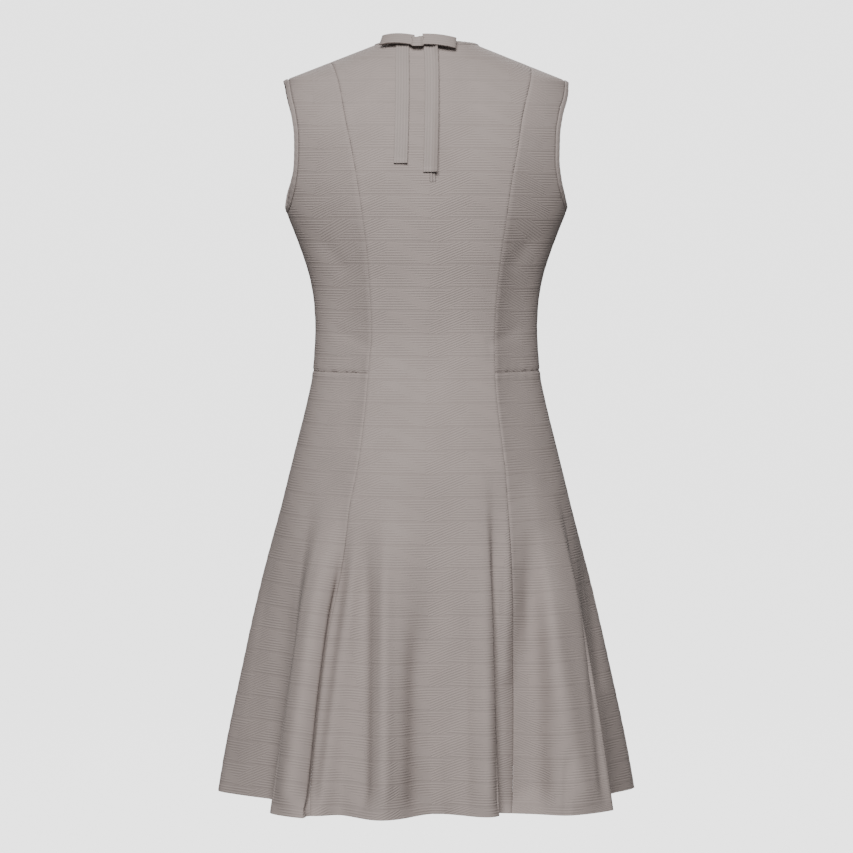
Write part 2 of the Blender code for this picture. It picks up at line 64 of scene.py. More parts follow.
def turned_object(name, data, place, right, up, back):
    """An object at a place whose own x, y and z axes point right, up and back."""
    made = bpy.data.objects.new(name, data)
    made.matrix_world = Matrix([[right[i], up[i], back[i], place[i]] for i in range(3)] + [[0, 0, 0, 1]])
    bpy.context.collection.objects.link(made)
    return made


camera_data = bpy.data.cameras.new("camera")
camera_data.lens, camera_data.sensor_width = LENS_MM, SENSOR_MM
camera_data.clip_end = 100
camera = turned_object("camera", camera_data, camera_place, camera_right, camera_up, back_to_camera)
bpy.context.scene.camera = camera
print("camera at", camera_place.round(3))

# %% [markdown]
# A dress is cut flat and becomes round on the body. Its form is kept here as a maker would note it down:
# a table of girths by height, the lines of the princess seams and armholes, and a row for each flute of the
# skirt. A place on the cloth is a station, which is an angle round the body in degrees from the centre
# back, and a height. They are the sizes that the rigid model was cut from.

# %% Sizes of the cut
CLOTH = 1.4 * MM
SEAM_GAP = 0.3 * MM
NECK_POINT_Z, NECK_POINT_X = 16.5 * MM, 58.8 * MM
SHOULDER_TIP_Z, SHOULDER_TIP_X = -21.5 * MM, 155.8 * MM
BACK_NECK_DROP, FRONT_NECK_DROP = 1.6 * MM, 64.0 * MM
UNDERARM_Z = -171.3 * MM
WAIST_SEAM_Z = -348.0 * MM
HEM_Z, HEM_LEAN = -823.0 * MM, 6.0 * MM
ZIP_END_Z, ZIP_WIDTH = -138.0 * MM, 8.9 * MM
BINDING_WIDTH, BINDING_PROUD = 6.0 * MM, 0.65 * MM
RIBBON_WIDTH, RIBBON, RIBS = 15.0 * MM, 1.1 * MM, 5

RINGS_COLUMNS = ("height", "half_width", "back", "front", "square")
RINGS = (
    (16.5, 58.8, 53, 46, 2.0),
    (-21.5, 155.8, 74, 62, 2.1),
    (-30, 161.0, 78, 67, 2.15),
    (-40, 165.0, 82, 71, 2.2),
    (-60, 169.0, 89, 79, 2.25),
    (-84, 170.5, 95, 91, 2.3),
    (-111, 169.5, 99, 103, 2.3),
    (-138, 166.0, 101, 113, 2.3),
    (-155, 161.5, 101, 118, 2.3),
    (-171.3, 157.0, 100, 121, 2.3),
    (-192, 149.0, 98, 122.5, 2.3),
    (-219, 139.0, 95, 120, 2.3),
    (-246, 131.0, 91, 112, 2.3),
    (-274, 126.6, 88, 104, 2.3),
    (-301, 125.4, 86, 98, 2.3),
    (-328, 126.6, 88, 96, 2.3),
    (-355, 129.0, 93, 98, 2.3),
    (-382, 134.5, 101, 102, 2.3),
    (-436, 148.0, 115, 108, 2.25),
    (-490, 161.5, 125, 114, 2.2),
    (-585, 184.5, 138, 127, 2.1),
    (-694, 205.5, 152, 145, 2.05),
    (-775, 219.5, 163, 158, 2.0),
    (-823, 226.0, 168, 166, 2.0),
)
PRINCESS_COLUMNS = ("height", "left", "right")
PRINCESS = (
    (0, 109, 118),
    (-26, 103, 111),
    (-66, 97, 100),
    (-101, 90.5, 94),
    (-137, 84.5, 87),
    (-183, 78, 81),
    (-218, 73.5, 76.5),
    (-298, 68.5, 70.5),
    (-348, 72, 70),
    (-436, 83, 77),
    (-500, 95, 86),
    (-640, 109, 105),
    (-823, 120, 120),
)
ARMHOLE_COLUMNS = ("height", "back_left", "back_right", "front")
ARMHOLE = (
    (-21.5, 155.8, 155.8, 155.8),
    (-40, 154.0, 151.5, 151.0),
    (-60, 150.5, 144.5, 145.0),
    (-84, 148.5, 141.0, 140.5),
    (-111, 149.5, 141.5, 141.0),
    (-138, 152.5, 146.5, 147.0),
    (-155, 155.0, 152.0, 153.0),
    (-171.3, 157.0, 157.0, 157.0),
)
DRAWN_IN, DRAWN_COLUMNS = 62.0 * MM, ("height", "share")
DRAWN = (
    (-25, 0.0),
    (-60, 0.1),
    (-100, 0.35),
    (-160, 0.75),
    (-220, 1.0),
    (-350, 1.0),
    (-440, 0.8),
    (-520, 0.35),
    (-600, 0.0),
)
FLUTES_COLUMNS = ("station", "out", "along", "start")
FLUTES = (
    (-93, 16, -8, -500),
    (-80, -13, -1, -500),
    (-68, -25, 27, -480),
    (-58, 32, 36, -470),
    (-47, 28, 48, -450),
    (-38, 5, 42, -450),
    (-31, -10, 41, -450),
    (-23, -27, 36, -450),
    (-17, 9, 4, -440),
    (-13, 15, 0, -440),
    (0, -13, 1, -520),
    (14.5, 35, 6, -430),
    (24, 13, 13, -430),
    (30, 27, 9, -470),
    (32, 31, 8, -470),
    (38, 47, -12, -480),
    (46, 40, -6, -480),
    (58, -20, -25, -480),
    (66, -24, -12, -500),
    (78, -11, -2, -500),
    (90, 11, 0, -500),
    (104, -12, 4, -500),
    (118, 30, 2, -450),
    (133, -14, -3, -460),
    (149, 34, 5, -440),
    (164, -12, 0, -480),
    (179, 24, -4, -450),
    (194, -14, 2, -470),
    (209, 33, -6, -440),
    (225, -12, 0, -470),
    (240, 31, 4, -450),
    (254, -14, -4, -500),
)
print(len(RINGS), "girths,", len(FLUTES), "crests and valleys of the skirt")

# %% [markdown]
# The tables hold few rows, so a smooth curve has to run through them. A plain spline would overshoot and
# put waves between the rows. A cubic whose slope is the harmonic mean of its neighbours' slopes, and level
# where the values turn, never does.

# %% Smooth curves through the tables


def column(table, names, name):
    """One named column of a table."""
    return np.array([row[names.index(name)] for row in table], float)


def through(knots, values, at):
    """Cubic Hermite curve through the knots; its slope at a knot is the harmonic mean of both sides."""
    values = np.broadcast_to(np.reshape(values, (len(knots), -1)), (len(knots), at.size))
    step = np.diff(knots)[:, None]
    rise = np.diff(values, axis=0) / step
    both = rise[:-1] * rise[1:]
    inner = np.where(both > 0, 2 * both / np.where(both > 0, rise[:-1] + rise[1:], 1), 0)
    slope = np.concatenate([rise[:1], inner, rise[-1:]])
    place = at.ravel()
    low = np.clip(np.searchsorted(knots, place, "right") - 1, 0, len(knots) - 2)
    width = step[low, 0]
    t = np.clip((place - knots[low]) / width, 0, 1)
    each = np.arange(at.size)
    start, end = values[low, each], values[low + 1, each]
    lean, leave = slope[low, each] * width, slope[low + 1, each] * width
    found = (
        (2 * t**3 - 3 * t**2 + 1) * start
        + (t**3 - 2 * t**2 + t) * lean
        + (3 * t**2 - 2 * t**3) * end
        + (t**3 - t**2) * leave
    )
    return found.reshape(at.shape)


def by_height(table, names, name, z):
    """A column of a table whose rows go down by height, read at the heights z, in metres."""
    knots = column(table, names, "height")[::-1] * MM
    scale = 1 if name in ("square", "share") else MM
    return through(knots, column(table, names, name)[::-1] * scale, np.asarray(z, float))


print("half the waist is", by_height(RINGS, RINGS_COLUMNS, "half_width", np.array([-0.301])).round(4))

# %% [markdown]
# The filled dress is a stack of rounded ovals. Each is a superellipse, a little squarer than an ellipse over
# the chest and plain at the hem, and deeper in front or behind. The princess seams draw the side panels
# in, so that the centre back stays flat between two soft corners. Lower down the flutes move the cloth out,
# and along, so that a fold can hang over its valley as it does on the real skirt.

# %% The dress as a surface of two parameters


def half_width(z):
    """Half the width at a height: straight down the shoulder's slope, and from the table below its tip."""
    z = np.asarray(z, float)
    slope = (SHOULDER_TIP_X - NECK_POINT_X) / (NECK_POINT_Z - SHOULDER_TIP_Z)
    below = by_height(RINGS, RINGS_COLUMNS, "half_width", np.minimum(z, SHOULDER_TIP_Z))
    return np.where(z > SHOULDER_TIP_Z, NECK_POINT_X + (NECK_POINT_Z - z) * slope, below)


def shoulder_z(x):
    """The height of the shoulder's slope at a distance from the centre line."""
    slope = (NECK_POINT_Z - SHOULDER_TIP_Z) / (SHOULDER_TIP_X - NECK_POINT_X)
    return NECK_POINT_Z - (np.abs(x) - NECK_POINT_X) * slope


def station_of(x, z, front=False):
    """The angle whose sine is x over the half width to the power square / 2, in degrees."""
    share = np.clip(np.abs(x) / half_width(z), 0, 1)
    square = by_height(RINGS, RINGS_COLUMNS, "square", z)
    turn = np.sign(x) * np.degrees(np.arcsin(share ** (square / 2)))
    return 180 - turn if front else turn


def x_of(station, z):
    """Half width times the sine of the station to the power 2 / square."""
    sine = np.sin(np.radians(station))
    square = by_height(RINGS, RINGS_COLUMNS, "square", z)
    return np.sign(sine) * half_width(z) * np.abs(sine) ** (2 / square)


def section(station, z):
    """Superellipse points: x from the sine, y from the cosine, both to the power 2 / square."""
    cosine = np.cos(np.radians(station))
    square = by_height(RINGS, RINGS_COLUMNS, "square", z)
    behind = by_height(RINGS, RINGS_COLUMNS, "back", z)
    ahead = by_height(RINGS, RINGS_COLUMNS, "front", z)
    y = np.sign(cosine) * np.where(cosine > 0, behind, ahead) * np.abs(cosine) ** (2 / square)
    return np.stack([x_of(station, z), y, z], -1)


def flute(station, z, name):
    """A column of the flutes: the hem's value times the share of the way down, to the power 1.1."""
    turned = (np.asarray(station) + 100) % 360 - 100
    knots = column(FLUTES, FLUTES_COLUMNS, "station")
    wide = column(FLUTES, FLUTES_COLUMNS, name) * MM
    start = column(FLUTES, FLUTES_COLUMNS, "start") * MM
    knots = np.concatenate([knots[-2:] - 360, knots, knots[:2] + 360])
    wide, start = (np.concatenate([c[-2:], c, c[:2]])[:, None] for c in (wide, start))
    grown = np.clip((start - z.ravel()) / (start - HEM_Z), 0, 1.2)
    return through(knots, wide * grown**1.1, turned)


def drawn_in(station, z):
    """Depth times the height's share times s (1 - s) squared, where s goes from seam to side."""
    left, right = (
        station_of(by_height(PRINCESS, PRINCESS_COLUMNS, side, z), z) for side in ("left", "right")
    )
    seam_station = np.where(station > 0, left, right)
    s = np.clip((np.abs(station) - seam_station) / np.maximum(90 - seam_station, 1), 0, 1)
    return DRAWN_IN * by_height(DRAWN, DRAWN_COLUMNS, "share", z) * s * (1 - s) ** 2


def surface(station, z):
    """Section points, less what is drawn in, plus the flutes' depth and shift, tipped at the hem."""
    station, z = np.broadcast_arrays(np.asarray(station, float), np.asarray(z, float))
    points = section(station, z)
    along = section(station + 0.5, z) - section(station - 0.5, z)
    along /= np.linalg.norm(along, axis=-1, keepdims=True)
    out = np.stack([-along[..., 1], along[..., 0], np.zeros_like(z)], -1)
    points -= out * drawn_in(station, z)[..., None]
    if z.min() > WAIST_SEAM_Z:
        return points
    points += out * flute(station, z, "out")[..., None] + along * flute(station, z, "along")[..., None]
    lower = np.clip((WAIST_SEAM_Z - z) / (WAIST_SEAM_Z - HEM_Z), 0, 1.1)
    points[..., 2] -= HEM_LEAN * lower * (1 - np.sin(np.radians(station))) / 2
    return points


def skin(station, z):
    """Points, and the unit cross product of the ways up and round, which faces out of the cloth."""
    small_turn, small_drop = 0.3, 0.6 * MM
    points = surface(station, z)
    round_it = surface(station + small_turn, z) - surface(station - small_turn, z)
    up_it = surface(station, z + small_drop) - surface(station, z - small_drop)
    facing = np.cross(up_it, round_it)
    return points, facing / np.linalg.norm(facing, axis=-1, keepdims=True)


print("hem at the centre back", surface(np.array([0.0]), np.array([HEM_Z])).round(3))

# %% [markdown]
# Each pattern piece is a grid laid between two of its seams. Its columns start at even steps along its top
# edge and end at the hem, closer together where the hem turns, so that the folds stay round. Its rows go
# down from the shoulder to the underarm, the waist seam and the hem.

# %% Pattern pieces as grids
ROWS_ZIP, ROWS_UNDERARM, ROWS_WAIST, ROWS_SKIRT = 52, 12, 60, 160


def stitched(start, end, parts):
    """Stations at even steps of effort, which is the hem's length plus its turning times a length."""
    fine = np.linspace(start, end, 800)
    legs = np.diff(surface(fine, np.full(fine.shape, HEM_Z)), axis=0)
    length = np.linalg.norm(legs, axis=1)
    ways = legs / length[:, None]
    turning = np.arccos(np.clip((ways[1:] * ways[:-1]).sum(1), -1, 1))
    turn_weight = 9 * MM
    effort = np.concatenate([[0], np.cumsum(length + turn_weight * np.append(turning, 0))])
    return np.interp(np.linspace(0, effort[-1], parts + 1), effort, fine)


class Panel:
    """A cut piece of the dress as a grid of stations and heights between two of its seams."""

    def __init__(self, left_x, right_x, top_x, hem_stations, front=False, neck=None):
        """Edges as x at a height; the columns' x at the top edge and their stations at the hem."""
        self.edges, self.front = (left_x, right_x), front
        self.top_x, self.hem = np.asarray(top_x), np.asarray(hem_stations)
        self.top_z = shoulder_z(self.top_x)
        if neck:
            inside = np.abs(self.top_x) < NECK_POINT_X
            share = np.clip(np.abs(self.top_x) / NECK_POINT_X, 0, 1)
            self.top_z = np.where(inside, NECK_POINT_Z - neck * (1 - share**2) ** 0.8, self.top_z)

    def edge_stations(self, z):
        """The stations of the two edges at a height."""
        return [station_of(edge(z), z, self.front) for edge in self.edges]

    def underarm_x(self):
        """The columns' x at the underarm: as at the top, or even round the body up to a side seam."""
        first, second = (edge(UNDERARM_Z) for edge in self.edges)
        share = (self.top_x - self.top_x[0]) / (self.top_x[-1] - self.top_x[0])
        if max(abs(first), abs(second)) < SHOULDER_TIP_X:
            return first + share * (second - first)
        start, end = self.edge_stations(UNDERARM_Z)
        return x_of(start + share * (end - start), np.full(share.shape, UNDERARM_Z))

    def grid(self, first_row, last_row):
        """Rows as shares between the edges: x shares above the underarm, station shares below it."""
        top, under_x = self.top_z, self.underarm_x()
        neck_z = NECK_POINT_Z - BACK_NECK_DROP
        zip_share = (neck_z - ZIP_END_Z) / (neck_z - UNDERARM_Z)
        upper = np.concatenate(
            [np.linspace(0, zip_share, ROWS_ZIP + 1), np.linspace(zip_share, 1, ROWS_UNDERARM + 1)[1:]]
        )
        first, second = self.edge_stations(UNDERARM_Z)
        under = (station_of(under_x, UNDERARM_Z, self.front) - first) / (second - first)
        hem = (self.hem - self.hem[0]) / (self.hem[-1] - self.hem[0])
        rows, places = [], []
        if first_row == "top":
            start, end = (edge(np.maximum(top, SHOULDER_TIP_Z)) for edge in self.edges)
            top_share = (self.top_x - start) / (end - start)
            low_share = (under_x - under_x[0]) / (under_x[-1] - under_x[0])
            for down in upper:
                z = top + (UNDERARM_Z - top) * down
                share = top_share * (1 - down) + low_share * down
                start, end = (edge(z) for edge in self.edges)
                x = start + share * (end - start)
                x[0], x[-1] = self.edges[0](z[0]), self.edges[1](z[-1])
                rows.append(station_of(x, z, self.front))
                places.append(z)
        waist = np.linspace(UNDERARM_Z, WAIST_SEAM_Z, ROWS_WAIST + 1)[1:]
        skirt = np.linspace(WAIST_SEAM_Z, HEM_Z, ROWS_SKIRT + 1)
        lower = {"waist": waist, "hem": np.concatenate([waist, skirt[1:]])}[last_row]
        for z in skirt if first_row == "waist" else lower:
            down = (UNDERARM_Z - z) / (UNDERARM_Z - HEM_Z)
            share = under * (1 - down) + hem * down
            start, end = self.edge_stations(np.full(share.shape, z))
            rows.append(start + share * (end - start))
            places.append(np.full(share.shape, z))
        return np.array(rows), np.array(places)


def seam(name, sign):
    """The x of a princess seam at a height."""
    return lambda z: sign * by_height(PRINCESS, PRINCESS_COLUMNS, name, z)


def armhole(name, sign):
    """The x of an armhole's edge at a height, and of the side seam below it."""

    def edge(z):
        z = np.asarray(z, float)
        low = np.clip(z, UNDERARM_Z, SHOULDER_TIP_Z)
        found = np.where(z > SHOULDER_TIP_Z, SHOULDER_TIP_X, by_height(ARMHOLE, ARMHOLE_COLUMNS, name, low))
        return sign * np.where(z < UNDERARM_Z, half_width(z), found)

    return edge


left_seam, right_seam = seam("left", 1), seam("right", -1)
top_left = float(left_seam(shoulder_z(109 * MM)))
top_right = float(right_seam(shoulder_z(118 * MM)))
hem_left = float(station_of(left_seam(HEM_Z), HEM_Z))
hem_right = float(station_of(right_seam(HEM_Z), HEM_Z))
print("princess seams end at stations", round(hem_left, 1), round(hem_right, 1))

# %% [markdown]
# The flutes are the large folds. Between them the real cloth has small ones: a sharp valley beside a ridge,
# a drag line out of the waist, a crease near the hem. They are easiest to place as they are seen, so each
# row of this table is a line on a plane that faces the camera, in mm to the right of its middle and up from
# the origin, with a width and a height, which is negative in a valley. A bell curve across the line and a
# soft start and end make it a fold. The hidden front has a few like them, placed straight on from ahead.

# %% Small creases
# The columns are high x, high z, low x, low z, width and height, all in mm.
CREASES_BEHIND = (
    (-88, -490, -138, -860, 11, -17),
    (-112, -520, -160, -860, 13, 6.0),
    (-71, -500, -74, -860, 10, -8.0),
    (-47, -500, -48, -860, 8, 4.5),
    (-9, -600, -10, -860, 13, -6.5),
    (18, -600, 21, -860, 10, 3.0),
    (43, -580, 45, -860, 9, -3.2),
    (67, -500, 70, -860, 8, 3.2),
    (89, -500, 91, -710, 8, 4.5),
    (121, -500, 121, -860, 16, -16),
    (100, -600, 100, -860, 14, -12),
    (120, -540, 183, -860, 14, 4.5),
    (160, -770, 156, -860, 5, -2.4),
    (171, -500, 203, -850, 6, -4.0),
    (180, -500, 198, -720, 5, -3.0),
    (-150, -540, -180, -860, 10, -3.2),
    (-184, -560, -214, -860, 9, 1.6),
    (-112, -300, -60, -322, 7, -0.9),
    (112, -296, 66, -322, 7, -0.9),
    (-70, -330, -20, -352, 9, 0.5),
    (20, -345, 72, -330, 9, 0.5),
    (-128, -190, -88, -240, 9, -1.0),
    (128, -188, 92, -236, 9, -1.1),
    (-20, -262, 40, -276, 10, -0.4),
    (-55, -285, 5, -296, 9, 0.4),
)
CREASES_AHEAD = (
    (-125, -186, -60, -226, 9, -1.0),
    (124, -190, 62, -232, 9, -0.9),
    (-110, -306, -48, -330, 8, -0.9),
    (108, -302, 40, -334, 9, -0.8),
    (-30, -330, 34, -342, 9, 0.5),
    (-38, -470, -46, -860, 7, -3.0),
    (-60, -500, -70, -860, 8, 2.0),
    (22, -520, 34, -860, 9, 1.8),
    (70, -480, 92, -860, 6, -3.6),
    (-88, -540, -104, -860, 8, 2.2),
    (128, -560, 150, -860, 8, -2.2),
    (-140, -600, -160, -860, 7, -2.6),
)


def seen_from_behind(points):
    """Where the camera sees points, measured on the plane through the origin that faces it, in mm."""
    away = points - camera_place
    nearness = CAMERA_AWAY / -(away @ back_to_camera)
    side = (away @ camera_right) * nearness
    height = (away @ camera_up) * nearness + CAMERA_Z - CAMERA_AWAY * back_to_camera[2]
    return side / MM, height / MM


def creased(side, height, table):
    """The sum over the lines of height times a bell of the distance across times a soft start and end."""
    total = np.zeros(side.shape)
    for high_x, high_z, low_x, low_z, wide, tall in table:
        length = np.hypot(low_x - high_x, low_z - high_z)
        way = np.array([low_x - high_x, low_z - high_z]) / length
        along = ((side - high_x) * way[0] + (height - high_z) * way[1]) / length
        across = (side - high_x) * way[1] - (height - high_z) * way[0]
        ends = np.clip(along / 0.35, 0, 1) * np.clip((1 - along) / 0.12, 0, 1)
        total += tall * np.exp(-((across / wide) ** 2)) * ends**2 * (3 - 2 * ends)
    return total * MM


def creases_at(points, facing):
    """Creases seen from behind where the cloth faces the camera, and those ahead where it faces away."""
    behind = np.clip(facing @ back_to_camera * 3, 0, 1)
    ahead = np.clip(-facing[..., 1] * 3, 0, 1)
    from_behind = creased(*seen_from_behind(points), CREASES_BEHIND)
    from_ahead = creased(points[..., 0] / MM, points[..., 2] / MM, CREASES_AHEAD)
    return from_behind * behind + from_ahead * ahead


print(len(CREASES_BEHIND), "creases behind and", len(CREASES_AHEAD), "ahead")

# %% [markdown]
# A seam pulls the cloth in. Close to it the outer face sinks in a rounded groove, and beside the groove the
# cloth puckers in small waves, uneven in length. The hem is the cloth turned up inside and stitched down,
# so the wall is thicker there. All this is worked out from how far a point lies from the edges of its
# pattern piece.

# %% Relief of seams and hem
GROOVE_DEPTH, GROOVE_WIDTH = 0.9 * MM, 1.5 * MM
PUCKER_HEIGHT, PUCKER_REACH, PUCKER_START = 0.22 * MM, 7.0 * MM, 2.0 * MM
PUCKER_PITCHES = (15.0 * MM, 23.7 * MM)
HEM_DEPTH, HEM_TURN = 22.0 * MM, 0.9 * MM


def lengths_across(points):
    """The length along each row from its first point."""
    legs = np.linalg.norm(np.diff(points, axis=1), axis=2)
    return np.concatenate([np.zeros((len(points), 1)), np.cumsum(legs, 1)], 1)


def lengths_down(points):
    """The length along each column from its first point."""
    legs = np.linalg.norm(np.diff(points, axis=0), axis=2)
    return np.concatenate([np.zeros((1, points.shape[1])), np.cumsum(legs, 0)], 0)


def groove(distance):
    """Minus the groove's depth times a bell of the distance from the seam."""
    return -GROOVE_DEPTH * np.exp(-((distance / GROOVE_WIDTH) ** 2))


def puckers(distance, place):
    """Waves along a seam from two sines of unlike pitch, fading with the distance from it."""
    short, long = (2 * np.pi * place / pitch for pitch in PUCKER_PITCHES)
    fading = np.exp(-distance / PUCKER_REACH) * (1 - np.exp(-distance / PUCKER_START))
    return PUCKER_HEIGHT * (np.sin(short) + 0.7 * np.sin(long + 1.3)) * fading


def seam_relief(points, sides):
    """Grooves and puckers along the named sides of a grid of points."""
    across, down = lengths_across(points), lengths_down(points)
    distance = {
        "first": (across, down),
        "last": (across[:, -1:] - across, down),
        "top": (down, across),
        "bottom": (down[-1:] - down, across),
    }
    relief = np.zeros(points.shape[:2])
    for side in sides:
        away, place = distance[side]
        relief += groove(away) + puckers(away, place)
    return relief


print("a seam groove is", GROOVE_DEPTH / MM, "mm deep")

# %% [markdown]
# The cloth itself is a wall of two faces with a closed rim. numpy makes every vertex and face at once: the
# outer grid, the same grid moved in by the cloth's thickness, and a strip of faces round each open edge.
# Each point also gets a place on the flat cloth, across and down in metres, as its texture map, so that
# the knitted pattern follows the cloth round the body and does not stretch over the folds.

# %% Build a wall of cloth


def mesh_object(name, points, faces, places, material):
    """A closed mesh from points, one or more arrays of faces and a flat place for each point."""
    mesh = bpy.data.meshes.new(name)
    mesh.vertices.add(len(points))
    mesh.vertices.foreach_set("co", points.astype(np.float32).ravel())
    faces = faces if isinstance(faces, list) else [faces]
    corners = np.concatenate([part.ravel() for part in faces])
    sizes = np.concatenate([np.full(len(part), part.shape[1]) for part in faces])
    mesh.loops.add(len(corners))
    mesh.loops.foreach_set("vertex_index", corners.astype(np.int32))
    mesh.polygons.add(len(sizes))
    mesh.polygons.foreach_set("loop_start", (np.cumsum(sizes) - sizes).astype(np.int32))
    mesh.update(calc_edges=True)
    layer = mesh.uv_layers.new(name="cloth")
    layer.data.foreach_set("uv", places[corners].astype(np.float32).ravel())
    mesh.shade_smooth()
    mesh.set_sharp_from_angle(angle=np.radians(55))
    mesh.materials.append(material)
    made = bpy.data.objects.new(name, mesh)
    bpy.context.collection.objects.link(made)
    return made


def wall_faces(rows, columns, keep=None):
    """Faces of the outer grid, of the inner grid turned round, and of a rim along each edge used once."""
    number = np.arange(rows * columns).reshape(rows, columns)
    cells = np.stack([number[:-1, :-1], number[:-1, 1:], number[1:, 1:], number[1:, :-1]], -1)
    cells = cells.reshape(-1, 4) if keep is None else cells[keep]
    starts, ends = cells.ravel(), np.roll(cells, -1, 1).ravel()
    count = rows * columns
    open_edge = ~np.isin(starts * count + ends, ends * count + starts)
    starts, ends = starts[open_edge], ends[open_edge]
    rim = np.stack([ends, starts, starts + count, ends + count], -1)
    return np.concatenate([cells, cells[:, ::-1] + count, rim])


def wall(name, outer, inner, places, material, keep=None):
    """A closed wall between two grids of points, with unused points left out."""
    faces = wall_faces(*outer.shape[:2], keep)
    points = np.concatenate([outer.reshape(-1, 3), inner.reshape(-1, 3)])
    places = np.tile(places.reshape(-1, 2), (2, 1))
    used, faces = np.unique(faces, return_inverse=True)
    return mesh_object(name, points[used], faces.reshape(-1, 4), places[used], material)


def trimmed(points, sides):
    """Points with half a seam gap taken off the named sides of the grid."""
    points = points.copy()
    for side in sides:
        edge, inner = {
            "top": (np.s_[0, :], np.s_[1, :]),
            "bottom": (np.s_[-1, :], np.s_[-2, :]),
            "first": (np.s_[:, 0], np.s_[:, 1]),
            "last": (np.s_[:, -1], np.s_[:, -2]),
        }[side]
        way = points[inner] - points[edge]
        points[edge] += way / np.linalg.norm(way, axis=-1, keepdims=True) * SEAM_GAP / 2
    return points


def softened_rim(piece, width=0.4 * MM):
    """Rounds the rim with a bevel on edges sharper than 55 degrees."""
    bevel = piece.modifiers.new("rounded rim", "BEVEL")
    bevel.width, bevel.segments, bevel.limit_method = width, 2, "ANGLE"
    bevel.angle_limit = np.radians(55)
    return piece


print("the helpers are ready")

# %% [markdown]
# The real cloth is a knit with a relief pattern. Fine ribs run level, and in between slanting bands of ribs
# climb to the right, so that wedges of both follow a zigzag, with a slightly darker line every 25 mm. It
# could be modelled, but ribs three mm apart over the whole dress would need millions of faces. Here it is
# a group of maths nodes that reads the flat place on the cloth and gives a height for a bump, so it is at
# its real scale and every material that needs it can use the same group.

# %% Helpers for node groups


def maths(tree, operation, *inputs):
    """A Math node whose inputs are numbers or sockets; gives its result."""
    node = tree.nodes.new("ShaderNodeMath")
    node.operation = operation
    for socket, value in zip(node.inputs, inputs):
        if isinstance(value, (int, float)):
            socket.default_value = value
        else:
            tree.links.new(value, socket)
    return node.outputs[0]


def eased(tree, value, low, high):
    """Goes smoothly from 0 to 1 as the value goes from low to high."""
    node = tree.nodes.new("ShaderNodeMapRange")
    node.interpolation_type = "SMOOTHSTEP"
    tree.links.new(value, node.inputs["Value"])
    node.inputs["From Min"].default_value = low
    node.inputs["From Max"].default_value = high
    return node.outputs["Result"]


def group_with(name, inputs, outputs):
    """An empty node group with named number inputs, a Place vector and number outputs."""
    tree = bpy.data.node_groups.new(name, "ShaderNodeTree")
    tree.interface.new_socket("Place", in_out="INPUT", socket_type="NodeSocketVector")
    for socket_name, value in inputs.items():
        socket = tree.interface.new_socket(socket_name, in_out="INPUT", socket_type="NodeSocketFloat")
        socket.default_value = value
    for socket_name in outputs:
        tree.interface.new_socket(socket_name, in_out="OUTPUT", socket_type="NodeSocketFloat")
    return tree, tree.nodes.new("NodeGroupInput"), tree.nodes.new("NodeGroupOutput")


def split_place(tree, source):
    """The two parts of the flat place: across and down."""
    parts = tree.nodes.new("ShaderNodeSeparateXYZ")
    tree.links.new(source.outputs["Place"], parts.inputs[0])
    return parts.outputs["X"], parts.outputs["Y"]


# %% The zigzag rib
ZIGZAG_WIDTH, ZIGZAG_HEIGHT = 94.0 * MM, 25.4 * MM
RIBS_A_REPEAT, RIB_CLIMB = 9, 0.4


def zigzag_group():
    """Height of the rib pattern.

    A zigzag line runs through each repeat. Near its rising half the ribs climb, away from it they run
    level, and close to it they fade. Each set of ribs is a cosine of the way across it.
    """
    tree, source, target = group_with(
        "zigzag rib", {"Width": ZIGZAG_WIDTH, "Height": ZIGZAG_HEIGHT}, ("Relief",)
    )
    across, down = split_place(tree, source)
    turns = maths(tree, "DIVIDE", across, source.outputs["Width"])
    level = maths(tree, "DIVIDE", down, source.outputs["Height"])
    share, depth = maths(tree, "FRACT", turns), maths(tree, "FRACT", level)
    from_middle = maths(tree, "ABSOLUTE", maths(tree, "SUBTRACT", share, 0.5))
    zigzag = maths(tree, "MULTIPLY", from_middle, 1.8)
    away = maths(tree, "ABSOLUTE", maths(tree, "SUBTRACT", depth, zigzag))
    rising = maths(tree, "SUBTRACT", 1.0, eased(tree, share, 0.46, 0.54))
    near = maths(tree, "SUBTRACT", 1.0, eased(tree, away, 0.3, 0.46))
    climbing_share = maths(tree, "MULTIPLY", rising, near)
    level_share = maths(
        tree, "MULTIPLY", eased(tree, away, 0.08, 0.26), maths(tree, "SUBTRACT", 1.0, climbing_share)
    )
    ribs = 2 * np.pi * RIBS_A_REPEAT
    level_rib = maths(tree, "COSINE", maths(tree, "MULTIPLY", depth, ribs))
    climb = maths(tree, "MULTIPLY", maths(tree, "DIVIDE", across, source.outputs["Height"]), RIB_CLIMB)
    climbing = maths(tree, "COSINE", maths(tree, "MULTIPLY", maths(tree, "ADD", level, climb), ribs))
    rib = maths(
        tree,
        "ADD",
        maths(tree, "MULTIPLY", level_rib, level_share),
        maths(tree, "MULTIPLY", climbing, climbing_share),
    )
    edge = maths(tree, "ABSOLUTE", maths(tree, "SUBTRACT", depth, 0.5))
    line_depth = maths(tree, "MULTIPLY_ADD", climbing_share, -0.7, 0.8)
    line = maths(tree, "MULTIPLY", eased(tree, edge, 0.44, 0.5), line_depth)
    relief = maths(tree, "SUBTRACT", maths(tree, "MULTIPLY_ADD", rib, 0.5, 0.5), line)
    tree.links.new(relief, target.inputs["Relief"])
    return tree


def cosine_waves(tree, place, pitch):
    """Cosine of one full turn for each pitch of the place."""
    turns = maths(tree, "DIVIDE", place, pitch)
    return maths(tree, "COSINE", maths(tree, "MULTIPLY", turns, 2 * np.pi))


